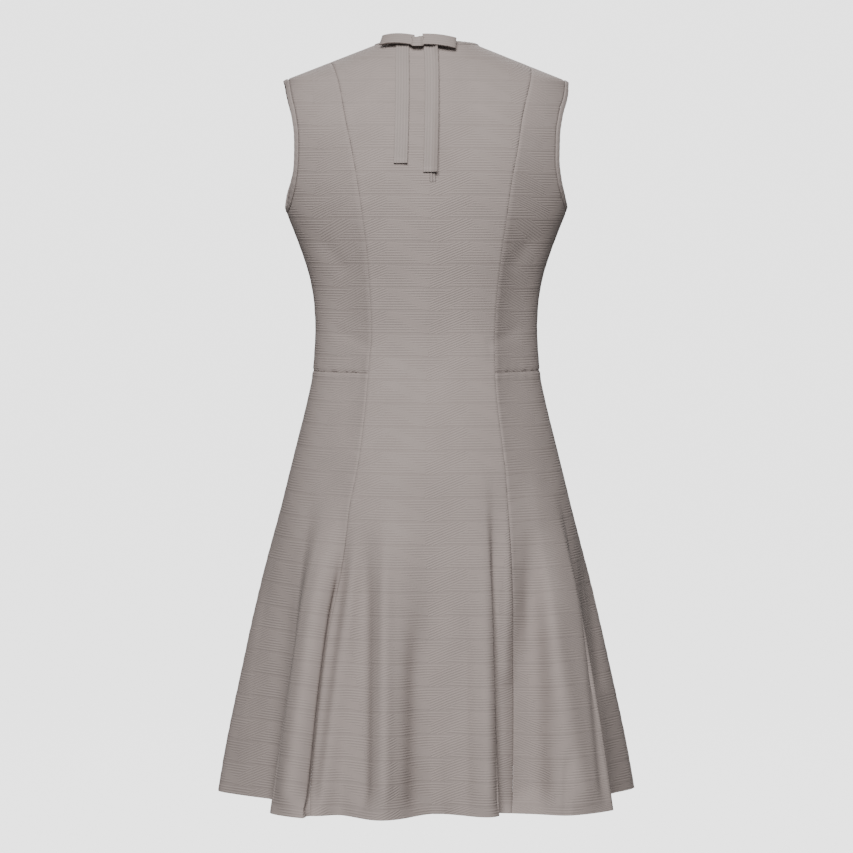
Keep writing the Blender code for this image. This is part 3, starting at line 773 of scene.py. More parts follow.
def knit_group():
    """Height of fine knitting: cosines across the wales times cosines down the courses, half offset."""
    tree, source, target = group_with("fine knit", {"Wale": 1.1 * MM, "Course": 0.8 * MM}, ("Relief",))
    across, down = split_place(tree, source)
    wale = cosine_waves(tree, across, source.outputs["Wale"])
    course = maths(tree, "MULTIPLY", maths(tree, "DIVIDE", down, source.outputs["Course"]), 2 * np.pi)
    slanted = maths(tree, "MULTIPLY_ADD", wale, 1.2, course)
    relief = maths(tree, "MULTIPLY_ADD", maths(tree, "COSINE", slanted), 0.5, 0.5)
    tree.links.new(relief, target.inputs["Relief"])
    return tree


zigzag_rib, fine_knit = zigzag_group(), knit_group()
print("node groups:", zigzag_rib.name, "and", fine_knit.name)

# %% [markdown]
# The dress is one dyed tone, a warm taupe grey, so the finishes differ in surface more than in colour. The
# cloth has the zigzag over a fine knit. The binding is plain fine knit. The ribbon has ribs along it and
# a slight gloss. Real dye is never quite even, so a soft noise in the cloth's own space varies each tone.
# The colour is also painted darker where each relief is low: painted shade in the hollows of the ribs and
# along the zigzag's lines. A faint sheen on the shader lights the turning edges.

# %% Finishes of cloth, binding, ribbon and thread
# The second tone of each pair is the darker end of the mix: uneven dye, and painted shade in the hollows.
CLOTH_TONE, CLOTH_SHADE = (0.295, 0.249, 0.232), (0.203, 0.171, 0.159)
TRIM_TONE, TRIM_SHADE = (0.287, 0.245, 0.229), (0.200, 0.169, 0.158)
RIBBON_TONE, RIBBON_SHADE = (0.290, 0.247, 0.230), (0.185, 0.157, 0.146)


def placed_group(tree, group, place):
    """A group node fed with the flat place."""
    node = tree.nodes.new("ShaderNodeGroup")
    node.node_tree = group
    tree.links.new(place, node.inputs["Place"])
    return node


def finish(name, tones, roughness, sheen, reliefs, dye=0.5):
    """A cloth finish: two tones mixed by noise and relief, and a bump for each relief in turn.

    Each relief is a group, its output, its bump height in metres and how much painted shade it lays on the
    tone where it is low.
    """
    made = bpy.data.materials.new(name)
    made.use_nodes = True
    tree = made.node_tree
    shader = tree.nodes["Principled BSDF"]
    shader.inputs["Roughness"].default_value = roughness
    shader.inputs["Metallic"].default_value = 0
    shader.inputs["Specular IOR Level"].default_value = 0.25
    shader.inputs["Sheen Weight"].default_value = sheen
    shader.inputs["Sheen Roughness"].default_value = 0.45
    shader.inputs["Sheen Tint"].default_value = (0.85, 0.8, 0.78, 1)
    flat = tree.nodes.new("ShaderNodeUVMap")
    flat.uv_map = "cloth"
    place = flat.outputs["UV"]
    coordinates = tree.nodes.new("ShaderNodeTexCoord")
    noise = tree.nodes.new("ShaderNodeTexNoise")
    noise.inputs["Scale"].default_value = 26
    noise.inputs["Detail"].default_value = 4
    tree.links.new(coordinates.outputs["Object"], noise.inputs["Vector"])
    dye_and_painted_shade = maths(tree, "MULTIPLY_ADD", noise.outputs["Fac"], dye, 0.75 - dye / 2)
    normal = None
    for group, output, height, painted_shade in reliefs:
        relief = placed_group(tree, group, place).outputs[output]
        bump = tree.nodes.new("ShaderNodeBump")
        bump.inputs["Distance"].default_value = height
        tree.links.new(relief, bump.inputs["Height"])
        if normal is not None:
            tree.links.new(normal, bump.inputs["Normal"])
        normal = bump.outputs["Normal"]
        # Painted shade: the colour goes towards the darker tone where the relief is low.
        dye_and_painted_shade = maths(tree, "ADD", dye_and_painted_shade, maths(tree, "MULTIPLY_ADD", relief, painted_shade, -painted_shade / 2))
    mix = tree.nodes.new("ShaderNodeMix")
    mix.data_type = "RGBA"
    tree.links.new(dye_and_painted_shade, mix.inputs["Factor"])
    lit, dark = tones
    for socket in mix.inputs:
        if socket.type == "RGBA" and socket.name in "AB":
            socket.default_value = (*(dark if socket.name == "A" else lit), 1)
    colour = [socket for socket in mix.outputs if socket.type == "RGBA"][0]
    tree.links.new(colour, shader.inputs["Base Color"])
    if normal is not None:
        tree.links.new(normal, shader.inputs["Normal"])
    return made


def ribbon_group():
    """Height of the ribbon's ribs: a cosine across it, and a fine one along it for the weft."""
    pitches = {"Rib": RIBBON_WIDTH / RIBS, "Weft": 0.5 * MM}
    tree, source, target = group_with("ribbon rib", pitches, ("Relief",))
    across, down = split_place(tree, source)
    rib = cosine_waves(tree, across, source.outputs["Rib"])
    weft = cosine_waves(tree, down, source.outputs["Weft"])
    both = maths(tree, "MULTIPLY_ADD", weft, 0.12, maths(tree, "MULTIPLY", rib, 0.38))
    tree.links.new(maths(tree, "ADD", both, 0.5), target.inputs["Relief"])
    return tree


ribbon_rib = ribbon_group()
cloth = finish(
    "zigzag knit cloth",
    (CLOTH_TONE, CLOTH_SHADE),
    0.85,
    0.04,
    [(fine_knit, "Relief", 0.03 * MM, 0.05), (zigzag_rib, "Relief", 0.3 * MM, 0.35)],
)
trim = finish(
    "plain knit trim", (TRIM_TONE, TRIM_SHADE), 0.8, 0.05, [(fine_knit, "Relief", 0.06 * MM, 0.15)]
)
ribbon_finish = finish(
    "ribbed ribbon", (RIBBON_TONE, RIBBON_SHADE), 0.62, 0.06, [(ribbon_rib, "Relief", 0.25 * MM, 0.45)], 0.3
)
thread = finish("sewing thread", (CLOTH_TONE, TRIM_SHADE), 0.6, 0.0, [], 0.3)
print("finishes:", cloth.name, trim.name, ribbon_finish.name, thread.name)

# %% [markdown]
# Now the pattern pieces. On the real dress they are cut, sewn at the seams and pressed. Here a panel's grid
# gives its points, the relief sinks its seams, and the wall is closed all round.

# %% Cut a pattern piece


def dress(piece, node, slot):
    """Names the piece after its node and slot, hides the model's plain solid and rides on the one body."""
    piece.name = f"{node}_{slot}"
    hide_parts(node)
    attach(piece, "root")
    return piece


def cut(panel, name, rows, sides, seams, zip_opening=False):
    """Make a panel's wall from its grid, and give back its points and outward directions."""
    stations, z = panel.grid(*rows)
    points, facing = skin(stations, z)
    fold = creases_at(points, facing)[..., None]
    across = lengths_across(points)
    middle = across.shape[1] // 2
    places = np.stack([across[:, middle : middle + 1] - across, -z], -1)
    outer = trimmed(points, sides) + facing * (fold + seam_relief(points, seams)[..., None])
    turned_up = HEM_TURN * np.clip((HEM_Z + HEM_DEPTH - z) / (1.5 * MM), 0, 1)
    inner = points - facing * (CLOTH + turned_up[..., None] - fold)
    keep = None
    if zip_opening:
        keep = np.ones((len(z) - 1, z.shape[1] - 1), bool)
        keep[:ROWS_ZIP, z.shape[1] // 2 - 1] = False
    piece = dress(softened_rim(wall(name, outer, inner, places, cloth, keep)), name, "cloth")
    return points + facing * fold, facing


# %% [markdown]
# The centre back is one panel from the neck to the hem. Both princess seams run down its sides, and it is
# slit from the neck to the end of the zip. The slit is one column of the grid, as wide as the zip's strip,
# whose faces are left out above the zip's end.

# %% Centre back
half_zip = ZIP_WIDTH / 2
NECK_PARTS, SHOULDER_PARTS = 35, 30
neck_turn = np.linspace(np.arcsin(half_zip / NECK_POINT_X), np.pi / 2, NECK_PARTS + 1)
neck_x = NECK_POINT_X * np.sin(neck_turn)
left_top = np.concatenate([neck_x, np.linspace(NECK_POINT_X, top_left, SHOULDER_PARTS + 1)[1:]])
right_top = np.concatenate([-neck_x, np.linspace(-NECK_POINT_X, top_right, SHOULDER_PARTS + 1)[1:]])[::-1]
MIDDLE_STATION = 1.6
back_parts = NECK_PARTS + SHOULDER_PARTS
centre = Panel(
    right_seam,
    left_seam,
    np.concatenate([right_top, left_top]),
    np.concatenate(
        [stitched(hem_right, -MIDDLE_STATION, back_parts), stitched(MIDDLE_STATION, hem_left, back_parts)]
    ),
    neck=BACK_NECK_DROP,
)
centre_points, centre_facing = cut(
    centre, "back_centre", ("top", "hem"), ("top", "first", "last"), ("first", "last"), zip_opening=True
)

# %% [markdown]
# The side backs are cut in two at the waist seam, which lets the skirt flare from a fitted bodice. The two
# sides are alike but for the exact lines of their seams, so one loop makes all four panels.

# %% Side backs
SIDE_PARTS = {"bodice": 44, "skirt": 120}
armhole_edges = {}
for side, sign, seam_x, top, hem_start in (
    ("left", 1, left_seam, top_left, hem_left),
    ("right", -1, right_seam, top_right, hem_right),
):
    for part_name, parts in SIDE_PARTS.items():
        top_x = np.linspace(top, sign * SHOULDER_TIP_X, parts + 1)
        panel = Panel(seam_x, armhole(f"back_{side}", sign), top_x, stitched(hem_start, sign * 90, parts))
        rows = ("top", "waist") if part_name == "bodice" else ("waist", "hem")
        sides = ("top", "bottom", "first", "last") if part_name == "bodice" else ("top", "first", "last")
        seams = ("bottom", "first", "last") if part_name == "bodice" else ("top", "first", "last")
        points, facing = cut(panel, f"side_back_{part_name}_{side}", rows, sides, seams)
        if part_name == "bodice":
            armhole_edges[side] = points[:, -1], facing[:, -1]

# %% [markdown]
# The front does not show, so it is finished plainly: a bodice with a scooped neck and a skirt, each from one
# side seam to the other, with the same cloth, seams and kind of folds as the back.

# %% Front bodice and skirt
FRONT_SHOULDER_PARTS, FRONT_NECK_PARTS, FRONT_SKIRT_PARTS = 28, 64, 210
shoulder_x = np.linspace(SHOULDER_TIP_X, NECK_POINT_X, FRONT_SHOULDER_PARTS + 1)
front_neck = NECK_POINT_X * np.cos(np.linspace(0, np.pi, FRONT_NECK_PARTS + 1))
front_top = np.concatenate([shoulder_x, front_neck[1:-1], -shoulder_x[::-1]])
front = Panel(
    armhole("front", 1),
    armhole("front", -1),
    front_top,
    np.linspace(90, 270, len(front_top)),
    front=True,
    neck=FRONT_NECK_DROP,
)
front_points, front_facing = cut(
    front, "front_bodice", ("top", "waist"), ("top", "bottom", "first", "last"), ("bottom", "first", "last")
)
skirt_top = np.cos(np.radians(np.linspace(0, 180, FRONT_SKIRT_PARTS + 1))) * SHOULDER_TIP_X
front_skirt = Panel(
    armhole("front", 1), armhole("front", -1), skirt_top, stitched(90, 270, FRONT_SKIRT_PARTS), front=True
)
cut(front_skirt, "front_skirt", ("waist", "hem"), ("top", "first", "last"), ("top", "first", "last"))

# %% [markdown]
# A concealed zip closes the neck. Only its two folded edges show, meeting at the centre line, as a narrow
# strip that runs up through the neck band and ends below the right tail of the bow. Its section is two low
# rounded ridges with a sharp groove between them, carried down the centre back.

# %% Zip strip
STRIP_PARTS = 24
STRIP_PROUD, STRIP_UNDER, STRIP_GROOVE = 0.5 * MM, 0.4 * MM, 0.75 * MM
STRIP_GROOVE_SHARE, STRIP_CUT_WIDTH = 0.09, 10.5 * MM


def zip_strip():
    """Points between the slit's two edges, raised by two ridges and sunk in a groove at the middle."""
    column_left = centre_points.shape[1] // 2 - 1
    rows = np.s_[: ROWS_ZIP + 1]
    start, end = centre_points[rows, column_left], centre_points[rows, column_left + 1]
    out = centre_facing[rows, column_left][:, None]
    way = end - start
    wide = np.linalg.norm(way, axis=1, keepdims=True)
    start, end = start + way / wide * SEAM_GAP, end - way / wide * SEAM_GAP
    share = np.linspace(0, 1, STRIP_PARTS + 1)
    points = start[:, None] * (1 - share)[:, None] + end[:, None] * share[:, None]
    rise = points[0] - points[1]
    rise *= BINDING_WIDTH / np.linalg.norm(rise, axis=1, keepdims=True)
    points = np.concatenate([(points[0] + rise)[None], (points[0] + rise / 2)[None], points])
    out = np.concatenate([out[:1], out[:1], out])
    points = trimmed(trimmed(points, ("top", "bottom")), ("bottom",))
    from_middle = np.abs(share - 0.5) * 2
    ridge = STRIP_PROUD * np.clip(1 - (from_middle * 2 - 1) ** 4, 0, 1)
    sunk = STRIP_GROOVE * np.exp(-((from_middle / STRIP_GROOVE_SHARE) ** 2))
    outer = points + out * (ridge - sunk)[None, :, None]
    inner = points - out * (CLOTH + STRIP_UNDER)
    across = (share - 0.5) * ZIP_WIDTH
    places = np.stack(np.broadcast_arrays(across[None], -points[..., 2]), -1)
    piece = softened_rim(wall("back_zip", outer, inner, places, trim), 0.25 * MM)
    dress(piece, "back_zip", "binding")
    return points, np.broadcast_to(out, points.shape)


strip_points, strip_facing = zip_strip()
print("zip strip", len(strip_points), "rows long")

# %% [markdown]
# The armholes and the neck are bound with narrow bands of plain knit, folded over the raw edge. A band
# carries on from the edge of the cloth into the opening. Its section is a flat rounded loop, worked out as
# a superellipse, so that light rolls over both its edges. The band is that section carried along the edge.

# %% Bindings
BINDING_SIDES = 24
ARMHOLE_PARTS, NECK_BINDING_PARTS = 200, 200
EDGE_TUCK = 0.25 * MM


def evenly_spaced(values, parts, closed):
    """Rows whose first three columns are a path, read at even lengths along it by interpolation."""
    if closed:
        values = np.concatenate([values, values[:1]])
    length = np.concatenate([[0], np.cumsum(np.linalg.norm(np.diff(values[:, :3], axis=0), axis=1))])
    at = np.linspace(0, length[-1], parts + 1)[: parts if closed else parts + 1]
    found = np.stack([np.interp(at, length, part) for part in values.T], 1)
    return found, length[-1]


def tube_faces(sections, sides, closed):
    """Quads between neighbouring sections, and flat caps of quads and two triangles on an open tube."""
    number = np.arange(sections * sides).reshape(sections, sides)
    here, after = (number, np.roll(number, -1, 0)) if closed else (number[:-1], number[1:])
    faces = [np.stack([here, np.roll(here, -1, 1), np.roll(after, -1, 1), after], -1).reshape(-1, 4)]
    if not closed:
        half = sides // 2
        for row, turn in ((number[0], -1), (number[-1], 1)):
            top, low = row[: half + 1], np.roll(row[::-1], 1)[: half + 1]
            cap = np.stack([top[1:-2], top[2:-1], low[2:-1], low[1:-2]], -1)
            tips = np.array([[row[0], row[1], row[-1]], [row[half - 1], row[half], row[half + 1]]])
            faces += [cap[:, ::turn], tips[:, ::turn]]
    return faces


def carried(sections, closed, faces_out):
    """Faces of a tube, turned round where the section runs the other way, so that they face outwards."""
    faces = tube_faces(*sections.shape[:2], closed)
    here = sections[0]
    normal = np.cross(here[1] - here[0], sections[1, 0] - here[0])
    outward = (normal * (here[0] - here.mean(0))).sum() > 0
    return faces if outward == faces_out else [part[:, ::-1] for part in faces]


def binding(name, edge, facing, parts, closed):
    """Superellipse sections: wide from the cosine, deep from the sine, beside the edge of the cloth."""
    rows, length = evenly_spaced(np.concatenate([edge, facing], 1), parts, closed)
    edge, facing = rows[:, :3], rows[:, 3:] / np.linalg.norm(rows[:, 3:], axis=1, keepdims=True)
    along = np.roll(edge, -1, 0) - np.roll(edge, 1, 0) if closed else np.gradient(edge, axis=0)
    inward = np.cross(along, facing)
    inward /= np.linalg.norm(inward, axis=1, keepdims=True)
    inward *= np.sign((inward * (edge.mean(0) - edge)).sum())
    turn = np.linspace(0, 2 * np.pi, BINDING_SIDES, endpoint=False)
    wide = np.sign(np.cos(turn)) * np.abs(np.cos(turn)) ** 0.5 * BINDING_WIDTH / 2
    deep = np.sign(np.sin(turn)) * np.abs(np.sin(turn)) ** 0.6 * (CLOTH / 2 + BINDING_PROUD)
    tuck = EDGE_TUCK * np.sin(np.linspace(0, 2 * np.pi * round(length / (9 * MM)), len(edge)))
    middle = edge + inward * (SEAM_GAP / 2 + BINDING_WIDTH / 2) - facing * CLOTH / 2
    points = (
        middle[:, None]
        + inward[:, None] * wide[None, :, None]
        + facing[:, None] * (deep[None] * (1 + tuck[:, None] / (2 * MM)))[..., None]
    )
    places = np.stack(
        np.broadcast_arrays(
            np.linspace(0, length, len(edge))[:, None],
            turn[None] * BINDING_WIDTH / np.pi,
        ),
        -1,
    ).reshape(-1, 2)
    piece = mesh_object(name, points.reshape(-1, 3), carried(points, closed, True), places, trim)
    dress(piece, name, "binding")
    print(f"{name}: {length * 1000:.0f} mm round")
    return edge, inward, facing


UPPER_ROWS = ROWS_ZIP + ROWS_UNDERARM + 1
bound = {}
for side, index in (("left", 0), ("right", -1)):
    back_edge, back_facing = (part[:UPPER_ROWS] for part in armhole_edges[side])
    front_edge, front_out = (part[:UPPER_ROWS, index] for part in (front_points, front_facing))
    loop = np.concatenate([back_edge, front_edge[-2:0:-1]])
    out = np.concatenate([back_facing, front_out[-2:0:-1]])
    name = f"armhole_binding_{side}"
    bound[name] = binding(name, loop, out, ARMHOLE_PARTS, True)

half = centre_points.shape[1] // 2
back_left = np.s_[0, half : half + NECK_PARTS + 1]
back_right = np.s_[0, half - NECK_PARTS - 1 : half]
front_span = np.s_[0, FRONT_SHOULDER_PARTS : FRONT_SHOULDER_PARTS + FRONT_NECK_PARTS + 1]
loop, out = (
    np.concatenate([back[back_left], ahead[front_span][1:-1], back[back_right]])
    for back, ahead in ((centre_points, front_points), (centre_facing, front_facing))
)
bound["neck_binding"] = binding(
    "neck_binding", loop, out, NECK_BINDING_PARTS, False
)

# %% [markdown]
# The bow is one narrow ribbon with ribs along it: two flat loops, a knot that grips them, and two tails of
# unequal length that hang over the back. It is tied a little to the left of the zip. Each run of ribbon is
# a path with a way across it. The faces of the ribbon rise in low ribs, and its edges and ends are turned
# over a little. Its places are measured on the slope of the back: sideways, up the slope, and off the cloth.

# %% A run of ribbon
BOW_X, BOW_Z = 14.0 * MM, 15.0 * MM
NECK_CURVE = 95.0 * MM
KNOT = (7.8 * MM, 6.7 * MM, 4.4 * MM)
KNOT_HEIGHT, KNOT_LIFT = 0.8 * MM, 4.9 * MM
LOOP_DEPTH, LOOP_PARTED = 3.6 * MM, 0.8 * MM
TAIL_TOP_Z = 19.0 * MM
RIBBON_ACROSS, RIB_HEIGHT = 54, 0.14 * MM
END_TURN, END_THICK = 5.0 * MM, 0.55 * MM


def ribbon(name, path, across, width, curl=None, turned_end=False):
    """Points at path plus across times a share of the width, plus curl off the face, with cosine ribs.

    A turned end is thicker for its last few mm, with a soft step where it is stitched down.
    """
    along = np.gradient(path, axis=0)
    across = across / np.linalg.norm(across, axis=-1, keepdims=True)
    face = np.cross(along, across)
    face /= np.linalg.norm(face, axis=1, keepdims=True)
    share = np.linspace(-0.5, 0.5, RIBBON_ACROSS + 1)
    middle = path[:, None] + across[:, None] * (share * width)[None, :, None]
    if curl is not None:
        middle = middle + face[:, None] * curl[..., None]
    length = np.concatenate([[0], np.cumsum(np.linalg.norm(np.diff(path, axis=0), axis=1))])
    ribs = RIB_HEIGHT * np.cos(2 * np.pi * RIBS * share) * np.clip((0.5 - np.abs(share)) / 0.04, 0, 1)
    thick = RIBBON / 2 + np.broadcast_to(ribs[None], middle.shape[:2])
    if turned_end:
        to_end = length[-1] - length
        thick = thick + (END_THICK * np.clip((END_TURN - to_end) / (0.8 * MM), 0, 1))[:, None]
    outer, inner = middle + face[:, None] * thick[..., None], middle - face[:, None] * thick[..., None]
    places = np.stack(np.broadcast_arrays((share * width)[None], length[:, None]), -1)
    piece = dress(softened_rim(wall(name, outer, inner, places, ribbon_finish), 0.3 * MM), name, "ribbon")
    print(f"{name}: {length[-1] * 1000:.0f} mm of ribbon")
    return piece


seat, out = (part[0] for part in skin(station_of(BOW_X, [BOW_Z]), np.array([BOW_Z])))
aside = np.cross(out, (0, 0, 1.0))
aside *= np.sign(aside[0]) / np.linalg.norm(aside)
up = np.cross(out, aside)
up *= np.sign(up[2]) / np.linalg.norm(up)
LAYER_DROP = out[2] / up[2]
print("what lies off the back drops by", round(float(LAYER_DROP), 2), "times its depth to stay level")


def on_bow(sideways, height, lift):
    """Seat plus sideways, height and lift along the bow's own ways, less the curve, x squared / 2r."""
    off = lift - np.asarray(sideways) ** 2 / (2 * NECK_CURVE)
    return (
        seat
        + np.multiply.outer(sideways, aside)
        + np.multiply.outer(height, up)
        + np.multiply.outer(off, out)
    )


# %% [markdown]
# The knot is the ribbon's middle wrapped once round the loops. It is a short upright band, wider at its
# ends where the ribbon is not gripped, with a dip in its upper edge and creases that run in from there. Its
# upper and lower ends lie level, although the back slopes under it.

# %% Knot
KNOT_SIDES, KNOT_ROWS = 48, 25
KNOT_WAIST, KNOT_DIP, KNOT_CREASE = 0.16, 1.3 * MM, 0.35 * MM
KNOT_STRAIGHT, KNOT_ROUNDING = 0.8, 0.9


def knot():
    """Superellipse sections up the back: half sizes times one less a bell of the height, with creases."""
    turn = np.linspace(0, 2 * np.pi, KNOT_SIDES, endpoint=False)
    level = np.sin(np.linspace(-1, 1, KNOT_ROWS) * np.pi / 2)[:, None]
    rounded_end = KNOT_ROUNDING * np.clip(np.abs(level) - KNOT_STRAIGHT, 0, 1)
    gripped = 1 - KNOT_WAIST * np.exp(-((level * 1.6) ** 2)) - rounded_end
    crease = KNOT_CREASE * np.cos(7 * turn + 1.2 * level) * np.clip(np.sin(turn), 0, 1)
    wide = KNOT[0] * gripped * np.sign(np.cos(turn)) * np.abs(np.cos(turn)) ** 0.6
    deep = (KNOT[2] + crease) * gripped * np.sign(np.sin(turn)) * np.abs(np.sin(turn)) ** 0.7
    dip = KNOT_DIP * np.exp(-(((wide - 1.5 * MM) / (2.6 * MM)) ** 2)) * np.clip(level, 0, 1) ** 3
    height = KNOT_HEIGHT + level * KNOT[1] - dip
    points = on_bow(wide, height - LAYER_DROP * deep, KNOT_LIFT + deep)
    girth = KNOT[0] * 4 * turn / (2 * np.pi) + level * 0
    places = np.stack([height + girth * 0, girth], -1).reshape(-1, 2)
    faces = carried(points, False, True)
    piece = mesh_object("bow_knot", points.reshape(-1, 3), faces, places, ribbon_finish)
    return dress(softened_rim(piece, 0.5 * MM), "bow_knot", "ribbon")


print("knot:", len(knot().data.vertices), "vertices")

# %% [markdown]
# A loop goes out from the knot and folds back behind itself. Both loops are one curve, a flat ellipse
# squeezed at the knot, which the right one follows downwards, because it has slipped a little.

# %% Loops of the bow
LOOP_STEPS, LOOP_TURN = 97, 0.93
# The columns are name, side, start, reach, height at the knot, rise, arch, level and lean, in mm or shares.
LOOPS = (
    ("bow_loop_left", 1, 4.5, 37.5, 2.0, 6.4, 1.2, 0.85, 0.14),
    ("bow_loop_right", -1, 4.5, 37.0, 3.0, 1.0, 0.4, 1.0, 0.02),
)
for name, side, start, reach, height_at_knot, rise, arch, level, lean_back in LOOPS:
    angle = np.linspace(-LOOP_TURN, LOOP_TURN, LOOP_STEPS) * np.pi
    far = 0.5 * (1 + np.cos(angle))
    swell = np.sin(angle) * (0.6 + 0.4 * np.cos(angle)) * LOOP_DEPTH
    swell += np.sign(angle) * (1 - far) * LOOP_PARTED
    sideways = side * (start + reach * far**0.9) * MM
    height = (height_at_knot + rise * far + arch * np.sin(np.pi * far)) * MM
    path = on_bow(sideways, height - level * LAYER_DROP * swell, KNOT_LIFT + 0.6 * MM + swell)
    lean = np.broadcast_to(up - out * lean_back - aside * side * rise / reach, path.shape)
    ribbon(name, path, lean, RIBBON_WIDTH * 0.95)

# %% [markdown]
# The tails come out from under the loops and fall over the zip and beside it. Each hangs a hair off the
# cloth, and its end is turned under and
# stitched. The right tail is twisted where it leaves the knot, so that its outer edge stands off the dress
# all the way down and throws a dark line of shadow beside it.

# %% Tails of the bow
TAIL_STEPS, TAIL_SETTLES = 120, 16
TAIL_FLAT_TOP, CURL_PLACE, CURL_LENGTH, TAIL_WAVE = 0.04, 0.05, 0.07, 0.35
# The columns are name, x at the top, x below it, x and z at the end, lift, edge's lift and curl, in mm.
TAILS = (
    ("bow_tail_left", 29.0, 31.3, 37.2, -117.5, 1.4, 1.6, 0.0),
    ("bow_tail_right", 2.5, -0.8, 5.0, -127.0, 1.5, 5.5, 2.6),
)
for name, top_x, high_x, low_x, low_z, lift, edge_lift, curl in TAILS:
    fall = np.linspace(0, 1, TAIL_STEPS + 1)
    z = TAIL_TOP_Z + (low_z * MM - TAIL_TOP_Z) * fall
    x = (high_x + (low_x - high_x) * fall + (top_x - high_x) * np.exp(-fall * TAIL_SETTLES)) * MM
    middle, facing = skin(station_of(x, z), z)
    beside = skin(station_of(x + 2 * MM, z), z)[0]
    path = middle + facing * lift * MM
    share = np.linspace(-0.5, 0.5, RIBBON_ACROSS + 1)
    outer_edge = np.clip(-share * 2, 0, 1) ** 1.6
    curled = curl * np.exp(-(((fall - CURL_PLACE) / CURL_LENGTH) ** 2))
    stands_off = (edge_lift * (0.45 + 0.55 * fall) + curled) * np.clip(fall / TAIL_FLAT_TOP, 0, 1)
    wave = TAIL_WAVE * np.sin(5.5 * np.pi * fall + 0.6) * np.clip(fall * 4, 0, 1)
    off = (stands_off[:, None] * outer_edge[None] + wave[:, None] * share[None]) * MM
    face = np.cross(np.gradient(path, axis=0), beside - middle)
    sign = np.sign((face * facing).sum())
    ribbon(name, path, beside - middle, RIBBON_WIDTH, off * sign, True)

# %% [markdown]
# Rows of stitching hold the bindings and the zip. A stitch is a small lozenge of thread sunk half way into
# the cloth. One lozenge is worked out once, and a whole row of them is that shape added to even places
# along a path, so a row is one mesh whatever its number of stitches.

# %% Rows of stitching
STITCH_LENGTH, STITCH_PITCH, STITCH_RADIUS = 2.1 * MM, 2.9 * MM, 0.28 * MM
STITCH_SIDES, STITCH_RINGS = 6, 3


def stitch_row(name, path, facing):
    """Ellipsoid rings at even places along a path, turned to its direction and its facing."""
    length = np.linalg.norm(np.diff(path, axis=0), axis=1).sum()
    parts = max(int(length / STITCH_PITCH), 2)
    rows = evenly_spaced(np.concatenate([path, facing], 1), parts * 2, False)[0]
    centre, out = rows[1::2, :3], rows[1::2, 3:]
    along = rows[2::2, :3] - rows[:-1:2, :3]
    along /= np.linalg.norm(along, axis=1, keepdims=True)
    out = out / np.linalg.norm(out, axis=1, keepdims=True)
    side = np.cross(along, out)
    ring = np.sin(np.linspace(-1, 1, STITCH_RINGS + 2)[1:-1] * np.pi / 2)
    turn = np.linspace(0, 2 * np.pi, STITCH_SIDES, endpoint=False)
    round_it = STITCH_RADIUS * np.sqrt(1 - ring**2)[:, None]
    local = np.stack(
        np.broadcast_arrays(
            (ring * STITCH_LENGTH / 2)[:, None], round_it * np.cos(turn), round_it * np.sin(turn)
        ),
        -1,
    ).reshape(-1, 3)
    tips = np.array([[-STITCH_LENGTH / 2, 0, 0], [STITCH_LENGTH / 2, 0, 0]])
    local = np.concatenate([local, tips])
    frames = np.stack([along, side, out], 1)
    points = centre[:, None] + np.einsum("va,sac->svc", local, frames)
    number = np.arange(STITCH_RINGS * STITCH_SIDES).reshape(STITCH_RINGS, STITCH_SIDES)
    here, after = number[:-1], number[1:]
    quads = np.stack([here, after, np.roll(after, -1, 1), np.roll(here, -1, 1)], -1).reshape(-1, 4)
    low, high = len(local) - 2, len(local) - 1
    first, last = number[0], number[-1]
    fans = np.concatenate(
        [
            np.stack([np.full(STITCH_SIDES, low), first, np.roll(first, -1)], -1),
            np.stack([np.full(STITCH_SIDES, high), np.roll(last, -1), last], -1),
        ]
    )
    shift = np.arange(len(centre))[:, None, None] * len(local)
    faces = [(part[None] + shift).reshape(-1, part.shape[1]) for part in (quads, fans)]
    places = np.broadcast_to(local[None, :, :2], (len(centre), len(local), 2)).reshape(-1, 2)
    piece = mesh_object(name, points.reshape(-1, 3), faces, places, thread)
    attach(piece, "root")
    print(f"{name}: {len(centre)} stitches")
    return piece


STITCH_INSET = 1.3 * MM
for name, (edge, inward, facing) in bound.items():
    place = edge + inward * (SEAM_GAP / 2 + STITCH_INSET) + facing * (BINDING_PROUD - 0.02 * MM)
    if name != "neck_binding":
        place, facing = np.concatenate([place, place[:1]]), np.concatenate([facing, facing[:1]])
    stitch_row(f"stitching_{name}", place, facing)

strip_stitches = {"left": 4, "right": STRIP_PARTS - 4}
for side, at in strip_stitches.items():
    place = strip_points[3:-2, at] + strip_facing[3:-2, at] * STRIP_PROUD
    stitch_row(f"stitching_zip_{side}", place, strip_facing[3:-2, at])

# %% [markdown]
# Last comes the studio. The dress hangs in the air as if it were worn, so the floor is as far below the hem
# as it is under a standing wearer, and it turns up into a wall all round, like the inside of a bowl, so that
# no edge shows from any side. A soft lamp stands high behind the dress, a little to the left, and a weaker
# one lights the hidden side. The paper glows where the camera looks straight at it, as a lit backdrop does,
# but gives off little light, so that the folds and the flanks keep their shade.

# %% Floor, wall and lamps
FLOOR_Z = -1.35
BOWL_RADIUS, BOWL_CORNER, BOWL_TOP = 7.0, 2.5, 4.5
BOWL_TURNS, BOWL_STEPS = 96, 24


